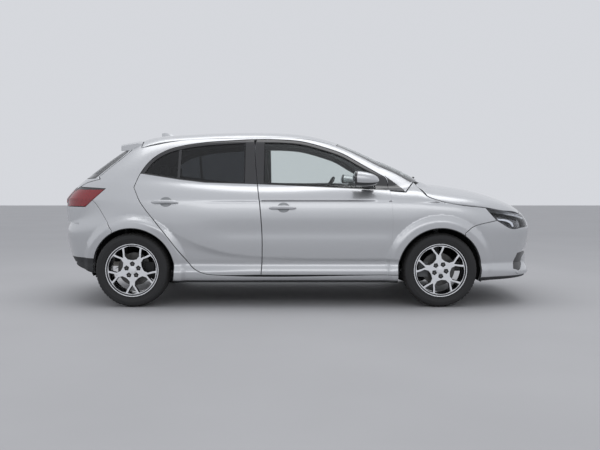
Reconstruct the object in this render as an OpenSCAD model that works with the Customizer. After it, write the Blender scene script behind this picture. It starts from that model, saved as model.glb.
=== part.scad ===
// Five-door hatchback car: unibody shell, hung panels, glazing, running gear and cabin.
// Frame: origin on the ground at the middle of the car, +X to the front, +Y to the left, +Z up.

/* [Body] */
// Overall length, bumper to bumper
body_length = 4113; // [3950:1:4300]
// Overall width over the wheel arches, without mirrors
body_width = 1797; // [1740:1:1860]
// Overall height, ground to roof
body_height = 1502; // [1440:1:1580]
// Distance between the axles
wheelbase = 2570; // [2500:1:2650]
// Front bumper to front axle
front_overhang = 870; // [820:1:920]
// Shut line between neighbouring panels
panel_gap = 6; // [5:0.5:8]
// Thickness of a door below the window line
door_thickness = 105; // [85:1:125]
// Thickness of a door's window frame
frame_thickness = 38; // [30:1:45]
// Thickness of bumper, fender and grille skins
skin_thickness = 9; // [7:0.5:12]
// Thickness of the glass
glass_thickness = 5; // [4:0.5:6]
// Depth of the glass behind the outer surface
glass_inset = 7; // [4:0.5:9]

/* [Wheels] */
// Outside radius of the tyre
tyre_radius = 310; // [300:1:318]
// Width of the tyre
tyre_width = 198; // [180:1:210]
// Distance between the wheel centre planes of one axle
track = 1536; // [1500:1:1550]
// Radius of the rim's outer flange
rim_radius = 221; // [205:1:228]
// Radius of the wheel arch opening
arch_radius = 352; // [345:1:362]
// Radius of the wheel housing inside the arch
liner_radius = 378; // [370:1:390]
// Radius of the brake discs
disc_radius = 140; // [120:1:150]

/* [Cabin] */
// Sideways offset of the front seats and of the steering wheel
seat_offset = 365; // [340:5:390]
// Width of a front seat
seat_width = 500; // [460:5:530]
// Outside diameter of the steering wheel
steering_diameter = 370; // [350:5:380]

/* [Hidden] */
$fn = 48;

// ---- The design car, whose outlines the stations and heights below are drawn on ----
design_length = 4113;
design_width = 1797;
design_height = 1502;
design_front_axle = 1186.5;
design_rear_axle = -1383.5;
front_axle = body_length / 2 - front_overhang;
rear_axle = front_axle - wheelbase;

// A design station carried to this car: the axles and the two ends are the fixed points.
function station(x) =
    x > design_front_axle
        ? front_axle + (x - design_front_axle) * front_overhang / (design_length / 2 - design_front_axle)
        : x < design_rear_axle
        ? rear_axle + (x - design_rear_axle) * (body_length / 2 + rear_axle) / (design_length / 2 + design_rear_axle)
        : rear_axle + (x - design_rear_axle) * wheelbase / (design_front_axle - design_rear_axle);
// Heights keep the wheel's centre and the sill where they are and stretch above them.
sill_line = 330;
function level(z) =
    z < sill_line ? z : sill_line + (z - sill_line) * (body_height - sill_line) / (design_height - sill_line);
function breadth(y) = y * body_width / design_width;
function placed(p) = [station(p[0]), breadth(p[1]), level(p[2])];
function outline(points) = [for (p = points) [station(p[0]), level(p[1])]];

// ---- Natural cubic splines through hand-chosen points ----
function swept(p, i, acc) =
    i > len(p) - 2 ? acc
    : let (h0 = p[i][0] - p[i - 1][0],
           h1 = p[i + 1][0] - p[i][0],
           w = (h0 + h1) / 3 - h0 / 6 * acc[i - 1][0],
           rhs = (p[i + 1][1] - p[i][1]) / h1 - (p[i][1] - p[i - 1][1]) / h0)
      swept(p, i + 1, concat(acc, [[h1 / 6 / w, (rhs - h0 / 6 * acc[i - 1][1]) / w]]));
function solved(cd, i, acc) =
    i < 0 ? acc : solved(cd, i - 1, concat([cd[i][1] - cd[i][0] * acc[0]], acc));
function spline(p) = [p, solved(swept(p, 1, [[0, 0]]), len(p) - 2, [0])];
function segment(p, x, i = 0) = i >= len(p) - 2 || x < p[i + 1][0] ? i : segment(p, x, i + 1);
function value(s, x) =
    let (p = s[0],
         m = s[1],
         c = min(max(x, p[0][0]), p[len(p) - 1][0]),
         i = segment(p, c),
         h = p[i + 1][0] - p[i][0],
         a = (p[i + 1][0] - c) / h,
         b = 1 - a)
    a * p[i][1] + b * p[i + 1][1] + ((a * a * a - a) * m[i] + (b * b * b - b) * m[i + 1]) * h * h / 6;

// ---- The outer surface, as curves of the design car ----
// Lower body: reach of the nose and of the tail, and half width of the flank, at each height
nose = spline([[150, 1900], [200, 1985], [240, 2040], [320, 2034], [430, 2034], [520, 2046],
               [600, 2056], [680, 2052], [740, 2030], [800, 1992], [900, 1930], [1100, 1850]]);
tail = spline([[150, 1850], [260, 1950], [340, 1995], [400, 2025], [480, 2045], [560, 2056],
               [630, 2054], [690, 2025], [740, 1965], [790, 1938], [860, 1938], [930, 1945],
               [980, 1938], [1040, 1905], [1100, 1860]]);
flank = spline([[150, 780], [200, 822], [235, 850], [270, 862], [300, 866], [330, 862],
                [358, 851], [390, 858], [425, 867], [500, 880], [600, 888], [700, 890],
                [780, 888], [850, 880], [892, 871], [940, 850], [1000, 820], [1060, 795], [1150, 770]]);
flank_roundness = 4.5;
// Top of the lower body on the centreline, and how far it drops by the flank
deck = spline([[-2056, 900], [-1960, 980], [-1900, 1040], [-1850, 1075], [-1700, 1095],
               [-1400, 1090], [-1000, 1062], [-500, 1030], [0, 1020], [500, 1015], [900, 1040],
               [1000, 1055], [1100, 1044], [1262, 1024], [1400, 1004], [1515, 984], [1683, 942],
               [1852, 880], [1950, 828], [2020, 770], [2056, 720]]);
deck_drop = spline([[-2056, 60], [-1400, 20], [0, 10], [700, 20], [1000, 90], [1300, 115], [2056, 115]]);
// Underside of the lower body
belly = spline([[-2056, 345], [-1750, 262], [-1383, 215], [-900, 205], [900, 205], [1186, 195],
                [1550, 184], [1900, 206], [2056, 232]]);
// Cabin: half width, reach of the windscreen and reach of the rear window at each height
cabin_middle = -300;
cabin_side = spline([[900, 800], [1020, 774], [1120, 738], [1210, 699], [1300, 657], [1400, 606], [1500, 550]]);
screen = spline([[900, 1370], [1000, 1190], [1061, 1075], [1103, 1000], [1181, 850], [1265, 690],
                 [1342, 535], [1397, 405], [1440, 285], [1500, 80]]);
backlight = spline([[900, 2060], [1000, 1975], [1075, 1890], [1150, 1795], [1230, 1690],
                    [1304, 1590], [1360, 1510], [1420, 1415], [1500, 1280]]);
cabin_roundness = 5;
cabin_floor = 700;
roof = spline([[-1700, 1380], [-1600, 1402], [-1450, 1432], [-1353, 1447], [-1240, 1463],
               [-1000, 1482], [-805, 1492], [-444, 1502], [-200, 1498], [-82, 1492], [81, 1474],
               [249, 1438], [400, 1392], [550, 1335], [700, 1270]]);
roof_crown = 48;
// Wheel arch flares: outer edge of the flare, its full height, and how far it stands out
flare_outer = 462;
flare_full = 400;
flare_front = 20;
flare_rear = 36;

function smooth_max(a, b, k) = let (h = max(k - abs(a - b), 0) / k) max(a, b) + h * h * h * k / 6;
function smooth_min(a, b, k) = -smooth_max(-a, -b, k);
function ease(t) = let (c = min(max(t, 0), 1)) c * c * (3 - 2 * c);
// Signed distance, near zero, to a superellipse of semi-axes a and b
function oval(x, y, a, b, n) =
    let (u = max(abs(x) / a, 1e-6),
         v = max(abs(y) / b, 1e-6),
         s = pow(u, n) + pow(v, n),
         gx = pow(u, n - 1) / a,
         gy = pow(v, n - 1) / b)
    (pow(s, 1 / n) - 1) * pow(s, (n - 1) / n) / sqrt(gx * gx + gy * gy);
function flare(x, z, axle, out) =
    out * ease((flare_outer - norm([x - axle, z - tyre_radius])) / (flare_outer - flare_full));
// Sinking by depth moves the flanks, the ends and the top inwards, and leaves the underside open.
function lower_body(x, y, z, depth) =
    let (half = value(flank, z) + flare(x, z, design_front_axle, flare_front)
                + flare(x, z, design_rear_axle, flare_rear),
         wall = oval(x, y, x > 0 ? value(nose, z) : value(tail, z), half, flank_roundness),
         top = z - value(deck, x) + value(deck_drop, x) * pow(abs(y) / 850, 2.4))
    smooth_max(smooth_max(wall, top, 130) + depth, value(belly, x) - z - (depth > 0 ? 40 : 0), 50);
function cabin(x, y, z, depth) =
    let (half_length = x > cabin_middle ? value(screen, z) - cabin_middle : value(backlight, z) + cabin_middle,
         wall = oval(x - cabin_middle, y, half_length, value(cabin_side, z), cabin_roundness),
         top = z - value(roof, x) + roof_crown * pow(abs(y) / 600, 2.2))
    max(smooth_max(wall, top, 150) + depth, cabin_floor - z);
function surface_distance(x, y, z, depth) =
    smooth_min(lower_body(x, y, z, depth), cabin(x, y, z, depth), 40);

// Where a ray from the body's axis leaves the surface sunk by depth, by false position
ray_height = 640;
ray_reach = 1150;
function ray_distance(x, r, angle, depth) =
    surface_distance(x, r * cos(angle), ray_height + r * sin(angle), depth);
function crossing(x, angle, depth, near, far, at_near, at_far, side, steps) =
    let (r = (near * at_far - far * at_near) / (at_far - at_near),
         here = ray_distance(x, r, angle, depth))
    steps == 0 || abs(here) < 0.05 ? r
    : here > 0 ? crossing(x, angle, depth, near, r, side == 1 ? at_near / 2 : at_near, here, 1, steps - 1)
    : crossing(x, angle, depth, r, far, here, side == -1 ? at_far / 2 : at_far, -1, steps - 1);
function skin_point(x, angle, depth) =
    let (at_axis = ray_distance(x, 0, angle, depth),
         r = at_axis >= 0 ? 0.5
             : crossing(x, angle, depth, 0, ray_reach, at_axis, ray_distance(x, ray_reach, angle, depth), 0, 20))
    placed([x, r * cos(angle), ray_height + r * sin(angle)]);

// Stations lie closer towards both ends, and rays closer at the sill, shoulder and roof rail.
station_count = 40;
end_margin = 1.5;
skin_angles = [-90, -70, -52, -40, -33, -28, -23, -18, -13, -7, -1, 5, 10, 15, 19, 23, 28,
               33, 38, 44, 50, 57, 65, 77, 90];
// Surfaces sunk deeper than this are hidden, so they take every second station and ray.
fine_depth = 20;

// A closed solid inside the outer surface, sunk by depth, between two stations.
module skin_solid(depth, from = -3000, to = 3000) {
    step = depth > fine_depth ? 2 : 1;
    margin = 170 * step;
    reach = design_length / 2 - end_margin - depth;
    stations = [for (i = [0:step:station_count]) reach * sin(-90 + 180 * i / station_count)];
    xs = [for (x = stations) if (x > from - margin && x < to + margin) x];
    angles = [for (i = [0:step:len(skin_angles) - 1]) skin_angles[i]];
    half = len(angles);
    ring = 2 * half - 2;
    halves = [for (x = xs) [for (a = angles) skin_point(x, a, depth)]];
    points = [for (h = halves) each concat(h, [for (k = [half - 2:-1:1]) [h[k][0], -h[k][1], h[k][2]]])];
    // Both halves are divided alike, as mirror images.
    sides = [for (i = [0:len(xs) - 2], j = [0:ring - 1])
        let (a = i * ring + j, b = a + ring, c = (i + 1) * ring + (j + 1) % ring, d = i * ring + (j + 1) % ring)
        each j < half - 1 ? [[a, b, c], [a, c, d]] : [[a, b, d], [b, c, d]]];
    last = (len(xs) - 1) * ring;
    caps = [for (j = [1:ring - 2]) each [[0, j, j + 1], [last, last + j + 1, last + j]]];
    polyhedron(points = points, faces = concat(sides, caps));
}

// ---- Outlines on the side view, as [x, z] of the design car ----
b_line = [[-375, 1412], [-341, 1026], [-316, 850], [-298, 595], [-299, 420], [-308, 270]];
front_edge = [[744, 270], [774, 524], [781, 730], [774, 850], [763, 966], [752, 1056], [740, 1080], [681, 1117],
              [533, 1202], [382, 1288], [229, 1342], [29, 1394], [-157, 1410]];
front_opening_line = concat(b_line, front_edge);
// The front door's upper rear corner is cut back, because it swings towards the rear door.
front_door_line = concat([[-358, 1412], [-367, 1350]], [for (i = [1:len(b_line) - 1]) b_line[i]], front_edge);
rear_door_line = concat([for (i = [len(b_line) - 1:-1:0]) b_line[i]],
    [[-602, 1400], [-800, 1385], [-995, 1355], [-1126, 1316], [-1250, 1236], [-1336, 1117], [-1379, 1001],
     [-1312, 873], [-1106, 621], [-954, 419], [-879, 330], [-777, 280], [-700, 270]]);
belt = [[-2100, 1190], [-1336, 1117], [-1001, 1065], [-781, 1039], [-341, 1026], [-152, 1018],
        [449, 988], [750, 974], [900, 961], [1010, 952]];
bonnet_line = [[990, 1046], [996, 1040], [1077, 928], [1130, 905], [1199, 884], [1347, 854], [1572, 830],
               [1909, 770], [1935, 790], [2100, 794]];
headlamp_line = [[1572, 830], [1909, 770], [1985, 742], [2010, 666], [1813, 650], [1668, 722]];
fender_line = [[744, 270], [774, 524], [781, 730], [774, 850], [763, 972], [900, 961], [990, 1046],
               [996, 1040], [1077, 928], [1130, 905], [1199, 884], [1347, 854], [1572, 830], [1668, 722],
               [1455, 668], [1391, 621], [1391, 270]];
front_bumper_line = [[1391, 150], [1391, 621], [1455, 668], [1668, 722], [1572, 830], [1909, 770],
                     [1935, 790], [2100, 794], [2100, 150]];
tail_lamp_line = [[-1628, 990], [-1891, 1002], [-2100, 1002], [-2100, 836], [-1808, 836]];
rear_bumper_line = [[-1552, 150], [-1552, 644], [-1641, 770], [-1710, 865], [-1741, 892], [-1808, 836],
                    [-2100, 836], [-2100, 150]];
tailgate_line = [[-1353, 1700], [-1353, 1440], [-1477, 1290], [-1720, 1076], [-1790, 1020], [-1790, 700],
                 [-2200, 700], [-2200, 1700]];
rear_glass_line = [[-1405, 1392], [-1508, 1280], [-1742, 1078], [-2100, 1062], [-2100, 1392]];
side_frame_line = [[835, 205], [835, 270], [744, 270], [744, 976], [763, 975], [900, 964], [990, 1049],
                   [1060, 1700], [-2000, 1700], [-2000, 1080],
                   [-2100, 1080], [-2100, 1002], [-1891, 1002], [-1628, 990], [-1741, 892], [-1710, 865],
                   [-1641, 770], [-1552, 644], [-1552, 205]];
hinge_pillar_line = [[740, 260], [835, 260], [835, 962], [740, 980]];
front_window_limits = [[-285, 900], [645, 900], [645, 1600], [-285, 1600]];
rear_window_limits = [[-1300, 900], [-450, 900], [-450, 1600], [-1300, 1600]];
// Outlines on the plan view, as [x, y] of the left half
screen_plan = [[372, 0], [368, 250], [352, 430], [330, 545], [700, 605], [960, 640], [1012, 600],
               [1048, 400], [1066, 0]];
roof_plan = [[372, 0], [368, 250], [352, 430], [330, 545], [-300, 572], [-1000, 575], [-1353, 560],
             [-1353, 0]];
bonnet_plan = [[1104, 0], [1092, 300], [1067, 520], [997, 660], [962, 700], [960, 1000], [2100, 1000],
               [2100, 0]];
scuttle_plan = [[1066, 0], [1048, 400], [1012, 600], [960, 640], [960, 660], [1040, 660], [1180, 560],
                [1180, 0]];
// The spoiler carries the roof's line on past the rear window, from root to tip.
spoiler_root = -1378;
spoiler_tip = -1603;
spoiler_sweep = 58;
spoiler_half = 505;
spoiler_drop = 15;
// Half width of the tailgate on the rear view, as [y, z]
tailgate_rear = [[0, 742], [520, 742], [545, 830], [560, 950], [600, 1030], [660, 1070], [1000, 1090],
                 [1000, 1700], [0, 1700]];
intake_openings = [
    [[0, 300], [560, 300], [620, 360], [600, 470], [0, 500]],
    [[0, 620], [470, 640], [500, 700], [0, 730]]];

function both_halves(points) =
    concat(points, [for (i = [len(points) - 1:-1:0]) if (points[i][1] != 0) [points[i][0], -points[i][1]]]);
module side_area(points) polygon(outline(points));
module plan_area(points) polygon([for (p = both_halves(points)) [station(p[0]), breadth(p[1])]]);
module along_x(from, to)
    translate([from, 0, 0]) rotate([90, 0, 90]) linear_extrude(to - from) children();
module along_y(from, to)
    translate([0, to, 0]) rotate([90, 0, 0]) linear_extrude(to - from) children();
module along_z(from, to)
    translate([0, 0, from]) linear_extrude(to - from) children();
module both_sides() {
    children();
    mirror([0, 1, 0]) children();
}
// Everything inside is worked out as one mesh, which suits the curved panels.
module meshed() resize([0, 0, 0]) children();

car_side = body_width / 2 + 120;
car_top = body_height + 160;
car_end = body_length / 2 + 80;
cabin_low = level(1000);

// ---- Panels that hang on hinges ----
hinge_setback = 48;
hinge_depth = 40;
swing_clearance = 5;
front_hinge = [station(781) - hinge_setback, breadth(888) - hinge_depth];
rear_hinge = [station(-298) - hinge_setback, breadth(888) - hinge_depth];
hinge_swing = norm([hinge_setback - panel_gap / 2, hinge_depth]) + swing_clearance;
door_flange = 12;
door_lip = 14;
hinge_relief = 28;
frame_width = 30;
ring_gap = 8;
// The window frames swing nearer to the pillars than the doors below them do.
frame_ring_gap = 14;
pillar_depth = 155;
frame_pillar_depth = 80;
pillar_lap_line = [[-440, 1000], [-300, 1000], [-300, 1080], [-440, 1080]];
pillar_lap_depth = 130;
seal_overlap = 45;

module belt_area(offset_z) {
    polygon(concat([for (p = belt) [station(p[0]), level(p[1]) + offset_z]],
                   [[station(1010), level(1700)], [station(-2100), level(1700)]]));
}
module window_area(line, limits) {
    intersection() {
        offset(delta = -frame_width) side_area(line);
        side_area(limits);
        belt_area(12);
    }
}
module door_area(line) offset(delta = -panel_gap / 2) side_area(line);
module door_inner_area(line) {
    intersection() {
        offset(delta = -door_lip) door_area(line);
        translate([-hinge_relief, 0]) door_area(line);
    }
}
// A left door: full outline at the skin, a smaller one inside, and a thin frame about its window.
module door_shell(line, limits, from, to) {
    difference() {
        intersection() {
            skin_solid(0, from, to);
            along_y(300, car_side) door_area(line);
            side_zone();
        }
        skin_solid(door_thickness, from, to);
        intersection() {
            skin_solid(frame_thickness, from, to);
            along_y(300, car_side) belt_area(-15);
        }
        intersection() {
            skin_solid(door_flange, from, to);
            along_y(300, car_side) difference() {
                side_area([[-2000, 100], [1000, 100], [1000, 1700], [-2000, 1700]]);
                door_inner_area(line);
            }
        }
        along_y(300, car_side) window_area(line, limits);
    }
}
module hinge_post(hinge, top)
    translate([hinge[0], hinge[1], 200]) cylinder(r = hinge_swing, h = level(top) - 200);
module front_door_left() {
    color("silver") meshed() difference() {
        door_shell(front_door_line, front_window_limits, -380, 785);
        hinge_post(rear_hinge, 1030);
    }
}
module rear_door_left()
    color("silver") meshed() door_shell(rear_door_line, rear_window_limits, -1385, -290);
module pane(line, limits, from, to) {
    meshed() intersection() {
        difference() {
            skin_solid(glass_inset, from, to);
            skin_solid(glass_inset + glass_thickness, from, to);
        }
        along_y(300, car_side) window_area(line, limits);
    }
}
module front_door_glass_left()
    color("lightgrey", 0.4) pane(front_door_line, front_window_limits, -300, 660);
module rear_door_glass_left()
    color("dimgrey", 0.6) pane(rear_door_line, rear_window_limits, -1310, -440);

module door_mirror_left() {
    color("silver") meshed() difference() {
        union() {
            hull() {
                translate(placed([505, 925, 1075])) scale([42, 62, 58]) sphere(1, $fn = 12);
                translate(placed([520, 985, 1070])) scale([50, 40, 60]) sphere(1, $fn = 12);
                translate(placed([600, 930, 1050])) scale([60, 70, 52]) sphere(1, $fn = 12);
            }
            hull() {
                translate(placed([600, 880, 1015])) scale([60, 30, 12]) sphere(1, $fn = 10);
                translate(placed([670, 770, 1012])) scale([42, 30, 12]) sphere(1, $fn = 10);
            }
        }
        skin_solid(0, 450, 760);
    }
}

tailgate_depth = 45;
tailgate_pivot = [station(-1368), level(1415)];
glass_rebate = 28;
module tailgate_area(grow) offset(delta = grow) side_area(tailgate_line);
module tailgate_rear_area(grow)
    offset(delta = grow) polygon([for (p = both_halves([for (q = tailgate_rear) [q[1], q[0]]]))
        [breadth(p[1]), level(p[0])]]);
module tailgate_space(grow) {
    intersection() {
        along_y(-car_side, car_side) tailgate_area(grow);
        along_x(-car_end - 40, 0) tailgate_rear_area(grow);
    }
}
module rear_glass_space(grow)
    along_y(-car_side, car_side) offset(delta = grow) side_area(rear_glass_line);
module spoiler() {
    chords = 5;
    spans = 12;
    row = spans + 1;
    count = (chords + 1) * row;
    function along(i, j) = let (w = 2 * j / spans - 1) spoiler_root
        + (spoiler_tip + spoiler_sweep * w * w - spoiler_root) * i / chords;
    function across(j) = spoiler_half * (2 * j / spans - 1);
    function top(i, j) = value(roof, along(i, j)) - spoiler_drop - roof_crown * pow(abs(across(j)) / 600, 2.2);
    upper = [for (i = [0:chords], j = [0:spans]) placed([along(i, j), across(j), top(i, j)])];
    lower = [for (i = [0:chords], j = [0:spans])
        placed([along(i, j), across(j), top(i, j) - 11 - 34 * pow(1 - i / chords, 1.5)])];
    skins = [for (i = [0:chords - 1], j = [0:spans - 1])
        let (a = i * row + j, b = a + 1, c = a + row + 1, d = a + row)
        each [[a, c, b], [a, d, c], [count + a, count + b, count + c], [count + a, count + c, count + d]]];
    ends = [for (i = [0:chords - 1], j = [0, spans])
        let (a = i * row + j, d = a + row)
        each j == 0 ? [[d, a, count + a], [d, count + a, count + d]]
                    : [[a, d, count + d], [a, count + d, count + a]]];
    edges = [for (j = [0:spans - 1], i = [0, chords])
        let (a = i * row + j, b = a + 1)
        each i == 0 ? [[a, b, count + b], [a, count + b, count + a]]
                    : [[b, a, count + a], [b, count + a, count + b]]];
    polyhedron(points = concat(upper, lower), faces = concat(skins, ends, edges));
}
module tailgate() {
    color("silver") meshed() {
        difference() {
            intersection() {
                skin_solid(0, -3000, -1330);
                tailgate_space(-panel_gap / 2);
            }
            skin_solid(tailgate_depth, -3000, -1330);
            difference() {
                rear_glass_space(0);
                skin_solid(2 + glass_thickness, -3000, -1330);
            }
            rear_glass_space(-glass_rebate);
        }
        intersection() {
            spoiler();
            tailgate_space(-panel_gap / 2);
        }
    }
}
module tailgate_glass() {
    color("dimgrey", 0.6) meshed() difference() {
        intersection() {
            skin_solid(2, -3000, -1380);
            rear_glass_space(0);
        }
        skin_solid(2 + glass_thickness, -3000, -1380);
        spoiler();
    }
}

bonnet_thickness = 26;
bonnet_pivot = [station(940), level(1000)];
module bonnet_space(grow) {
    intersection() {
        along_y(-car_side, car_side) offset(delta = grow)
            side_area(concat(bonnet_line, [[2100, 1700], [990, 1700]]));
        along_z(level(500), car_top) offset(delta = grow) plan_area(bonnet_plan);
    }
}
module bonnet() {
    color("silver") meshed() difference() {
        intersection() {
            skin_solid(0, 985, 3000);
            bonnet_space(-panel_gap / 2);
        }
        skin_solid(bonnet_thickness, 985, 3000);
    }
}

flap_centre = [station(-1530), level(848)];
flap_size = 148;
flap_thickness = 8;
// The flap turns about a line just under the skin, which leans in as the flank does there.
flap_pivot = [flap_centre[0] + flap_size / 2 - 9, breadth(810)];
flap_lean = 10.1;
flap_relief = 17;
pocket_floor = breadth(740);
module flap_area(grow) {
    translate(flap_centre) offset(r = 24) square(flap_size - 48 + 2 * grow, center = true);
}
module fuel_flap() {
    color("silver") meshed() difference() {
        intersection() {
            skin_solid(0, -1640, -1400);
            along_y(600, car_side) flap_area(-panel_gap / 2);
        }
        skin_solid(flap_thickness, -1640, -1400);
    }
}

// ---- Fixed shell ----
module wheel_well(axle, radius, from, to)
    translate([axle, to, tyre_radius]) rotate([90, 0, 0]) cylinder(r = radius, h = to - from);
arch_lip = 18;
well_inner = 480;
liner_thickness = 6;
module arch_opening(axle) wheel_well(axle, arch_radius, well_inner - liner_thickness, car_side);
sill_inner = 700;
seam = 1;
roof_thickness = 24;
// Further room over the doors' top edges, which rise as they open
roof_rail_relief = 4;
rail_plan = [[250, 0], [250, 1000], [-1200, 1000], [-1200, 0]];
screen_flange = 32;
roof_flange = 45;
module side_zone() {
    along_z(100, sill_line) polygon([[-car_end, 520], [station(-1720), 520], [station(-1620), sill_inner],
                                     [station(1100), sill_inner], [station(1100), car_side],
                                     [-car_end, car_side]]);
    along_z(sill_line, cabin_low) polygon([[-car_end, 520], [station(1100), 520], [station(1100), car_side],
                                           [-car_end, car_side]]);
    along_z(cabin_low, car_top) polygon([[-car_end, 420], [station(1100), 420], [station(1100), car_side],
                                         [-car_end, car_side]]);
}
module side_frame(filler) {
    meshed() difference() {
        intersection() {
            union() {
                intersection() {
                    skin_solid(0, -3000, 1000);
                    along_y(300, car_side) side_area(side_frame_line);
                }
                intersection() {
                    skin_solid(skin_thickness + 6, 700, 1000);
                    along_y(300, car_side) side_area(hinge_pillar_line);
                }
            }
            side_zone();
        }
        skin_solid(pillar_depth, -3000, 1000);
        intersection() {
            skin_solid(frame_pillar_depth, -3000, 1000);
            along_y(300, car_side) belt_area(-5);
            // The lower centre pillar laps up behind the slim upper one.
            union() {
                along_y(300, car_side) difference() {
                    side_area([[-2100, 800], [1100, 800], [1100, 1700], [-2100, 1700]]);
                    side_area(pillar_lap_line);
                }
                skin_solid(pillar_lap_depth, -600, 0);
            }
        }
        difference() {
            along_y(300, car_side) offset(delta = panel_gap / 2) {
                side_area(front_opening_line);
                side_area(rear_door_line);
            }
            skin_solid(door_thickness + ring_gap, -1500, 1000);
            intersection() {
                skin_solid(frame_thickness + frame_ring_gap, -1500, 1000);
                along_y(300, car_side) belt_area(-5);
            }
        }
        intersection() {
            along_y(300, car_side) offset(delta = panel_gap / 2 + roof_rail_relief) {
                side_area(front_opening_line);
                side_area(rear_door_line);
            }
            along_z(level(1385), car_top) plan_area(rail_plan);
        }
        along_y(300, car_side) offset(delta = -seal_overlap) side_area(front_opening_line);
        along_y(300, car_side) offset(delta = -seal_overlap) side_area(rear_door_line);
        hinge_post(front_hinge, 1000);
        along_z(level(1010), car_top) offset(delta = -screen_flange) plan_area(screen_plan);
        difference() {
            along_z(level(1010), car_top) offset(delta = seam) plan_area(screen_plan);
            skin_solid(2 + glass_thickness, 300, 1100);
        }
        along_z(level(1200), car_top) offset(delta = -roof_flange) plan_area(roof_plan);
        difference() {
            along_z(level(1200), car_top) offset(delta = seam) plan_area(roof_plan);
            skin_solid(roof_thickness, -1400, 420);
        }
        tailgate_space(panel_gap / 2);
        arch_opening(rear_axle);
        arch_opening(front_axle);
        intersection() {
            skin_solid(arch_lip, -3000, 1000);
            union() {
                for (axle = [rear_axle, front_axle])
                    wheel_well(axle, liner_radius + liner_thickness + 2, well_inner - liner_thickness,
                               car_side);
            }
        }
        if (filler) {
            along_y(pocket_floor, car_side) flap_area(panel_gap / 2);
            translate([flap_pivot[0], flap_pivot[1], flap_centre[1]]) rotate([flap_lean, 0, 0])
                cylinder(r = flap_relief, h = flap_size, center = true);
        }
    }
}
module side_frames() {
    color("silver") {
        side_frame(true);
        mirror([0, 1, 0]) side_frame(false);
    }
}
module roof_panel() {
    color("silver") meshed() difference() {
        intersection() {
            skin_solid(0, -1360, 420);
            along_z(level(1200), car_top) plan_area(roof_plan);
        }
        skin_solid(roof_thickness, -1360, 420);
        tailgate_space(panel_gap / 2);
        both_sides() along_y(300, car_side) offset(delta = panel_gap / 2 + roof_rail_relief) {
            side_area(front_opening_line);
            side_area(rear_door_line);
        }
    }
}
module windscreen() {
    color("lightgrey", 0.4) meshed() difference() {
        intersection() {
            skin_solid(2, 300, 1100);
            along_z(level(900), car_top) plan_area(screen_plan);
        }
        skin_solid(2 + glass_thickness, 300, 1100);
    }
}
scuttle_gap = 9;
scuttle_thickness = 20;
module scuttle_panel() {
    color("black") meshed() difference() {
        intersection() {
            skin_solid(bonnet_thickness + scuttle_gap, 900, 1250);
            along_z(level(900), car_top) plan_area(scuttle_plan);
        }
        skin_solid(bonnet_thickness + scuttle_gap + scuttle_thickness, 900, 1250);
    }
}
module front_fenders() {
    color("silver") both_sides() meshed() difference() {
        intersection() {
            skin_solid(0, 700, 1700);
            along_y(300, car_side) offset(delta = -panel_gap / 2) side_area(fender_line);
        }
        skin_solid(skin_thickness, 700, 1700);
        hinge_post(front_hinge, 1000);
        arch_opening(front_axle);
        bonnet_space(panel_gap / 2);
        along_z(level(900), car_top) offset(delta = seam) plan_area(screen_plan);
    }
}
module headlamp_space(grow) {
    both_sides() intersection() {
        along_y(breadth(430), car_side) offset(delta = grow) side_area(headlamp_line);
        along_z(0, car_top) polygon([[0, 300], [0, 1200], [car_end, 1200], [car_end, breadth(520)],
                                     [station(1900), breadth(440)], [station(1500), breadth(440)]]);
    }
}
module headlamps() {
    color("white") meshed() difference() {
        intersection() {
            skin_solid(2, 1500, 3000);
            headlamp_space(-1);
        }
        skin_solid(62, 1500, 3000);
        bonnet_space(panel_gap / 2);
    }
}
module tail_lamps() {
    color("red") meshed() difference() {
        intersection() {
            skin_solid(2, -3000, -1560);
            both_sides() along_y(450, car_side) offset(delta = -1) side_area(tail_lamp_line);
        }
        skin_solid(62, -3000, -1560);
        tailgate_space(panel_gap / 2);
    }
}
module intake_area() {
    for (opening = intake_openings)
        polygon([for (p = both_halves([for (q = opening) [q[1], q[0]]])) [breadth(p[1]), level(p[0])]]);
}
module front_bumper() {
    color("silver") meshed() difference() {
        intersection() {
            skin_solid(0, 1380, 3000);
            along_y(-car_side, car_side) offset(delta = -1) side_area(front_bumper_line);
        }
        skin_solid(skin_thickness, 1380, 3000);
        both_sides() arch_opening(front_axle);
        headlamp_space(0);
        bonnet_space(panel_gap / 2);
        along_x(station(1850), car_end) intake_area();
    }
}
module front_grille() {
    color("black") meshed() difference() {
        intersection() {
            skin_solid(skin_thickness + 1, 1850, 3000);
            along_x(station(1850), car_end) offset(delta = 12) intake_area();
        }
        skin_solid(fine_depth + 2, 1850, 3000);
        headlamp_space(1);
    }
}
module rear_bumper() {
    color("silver") meshed() difference() {
        intersection() {
            skin_solid(0, -3000, -1540);
            along_y(-car_side, car_side) offset(delta = -1) side_area(rear_bumper_line);
        }
        skin_solid(skin_thickness, -3000, -1540);
        both_sides() arch_opening(rear_axle);
        tailgate_space(panel_gap / 2);
    }
}

// ---- Floor, running gear and power unit ----
tank_top = 392;
firewall = station(1000);
floor_profile = [
    [-1100, 400], [-520, 400], [-480, 215], [860, 215], [1008, 400], [1008, 950], [1000, 950], [1000, 404],
    [856, 223], [-474, 223], [-512, 408], [-1100, 408]];
luggage_profile = [[-1940, 735], [-1948, 735], [-1948, 462], [-1150, 462], [-1090, 400], [-1090, 408],
                   [-1146, 470], [-1940, 470]];
luggage_half = 472;
tunnel_width = 220;
rail_inner = 428;
rail_width = 44;
// The steering axis leans inwards from the ball joint up to the strut's top mount
kingpin_foot = [front_axle, track / 2 - 86, 210];
kingpin_lean = atan(0.18 / 0.983);
strut_radius = 27;
spring_radius = 56;
tower_radius = 92;
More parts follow.
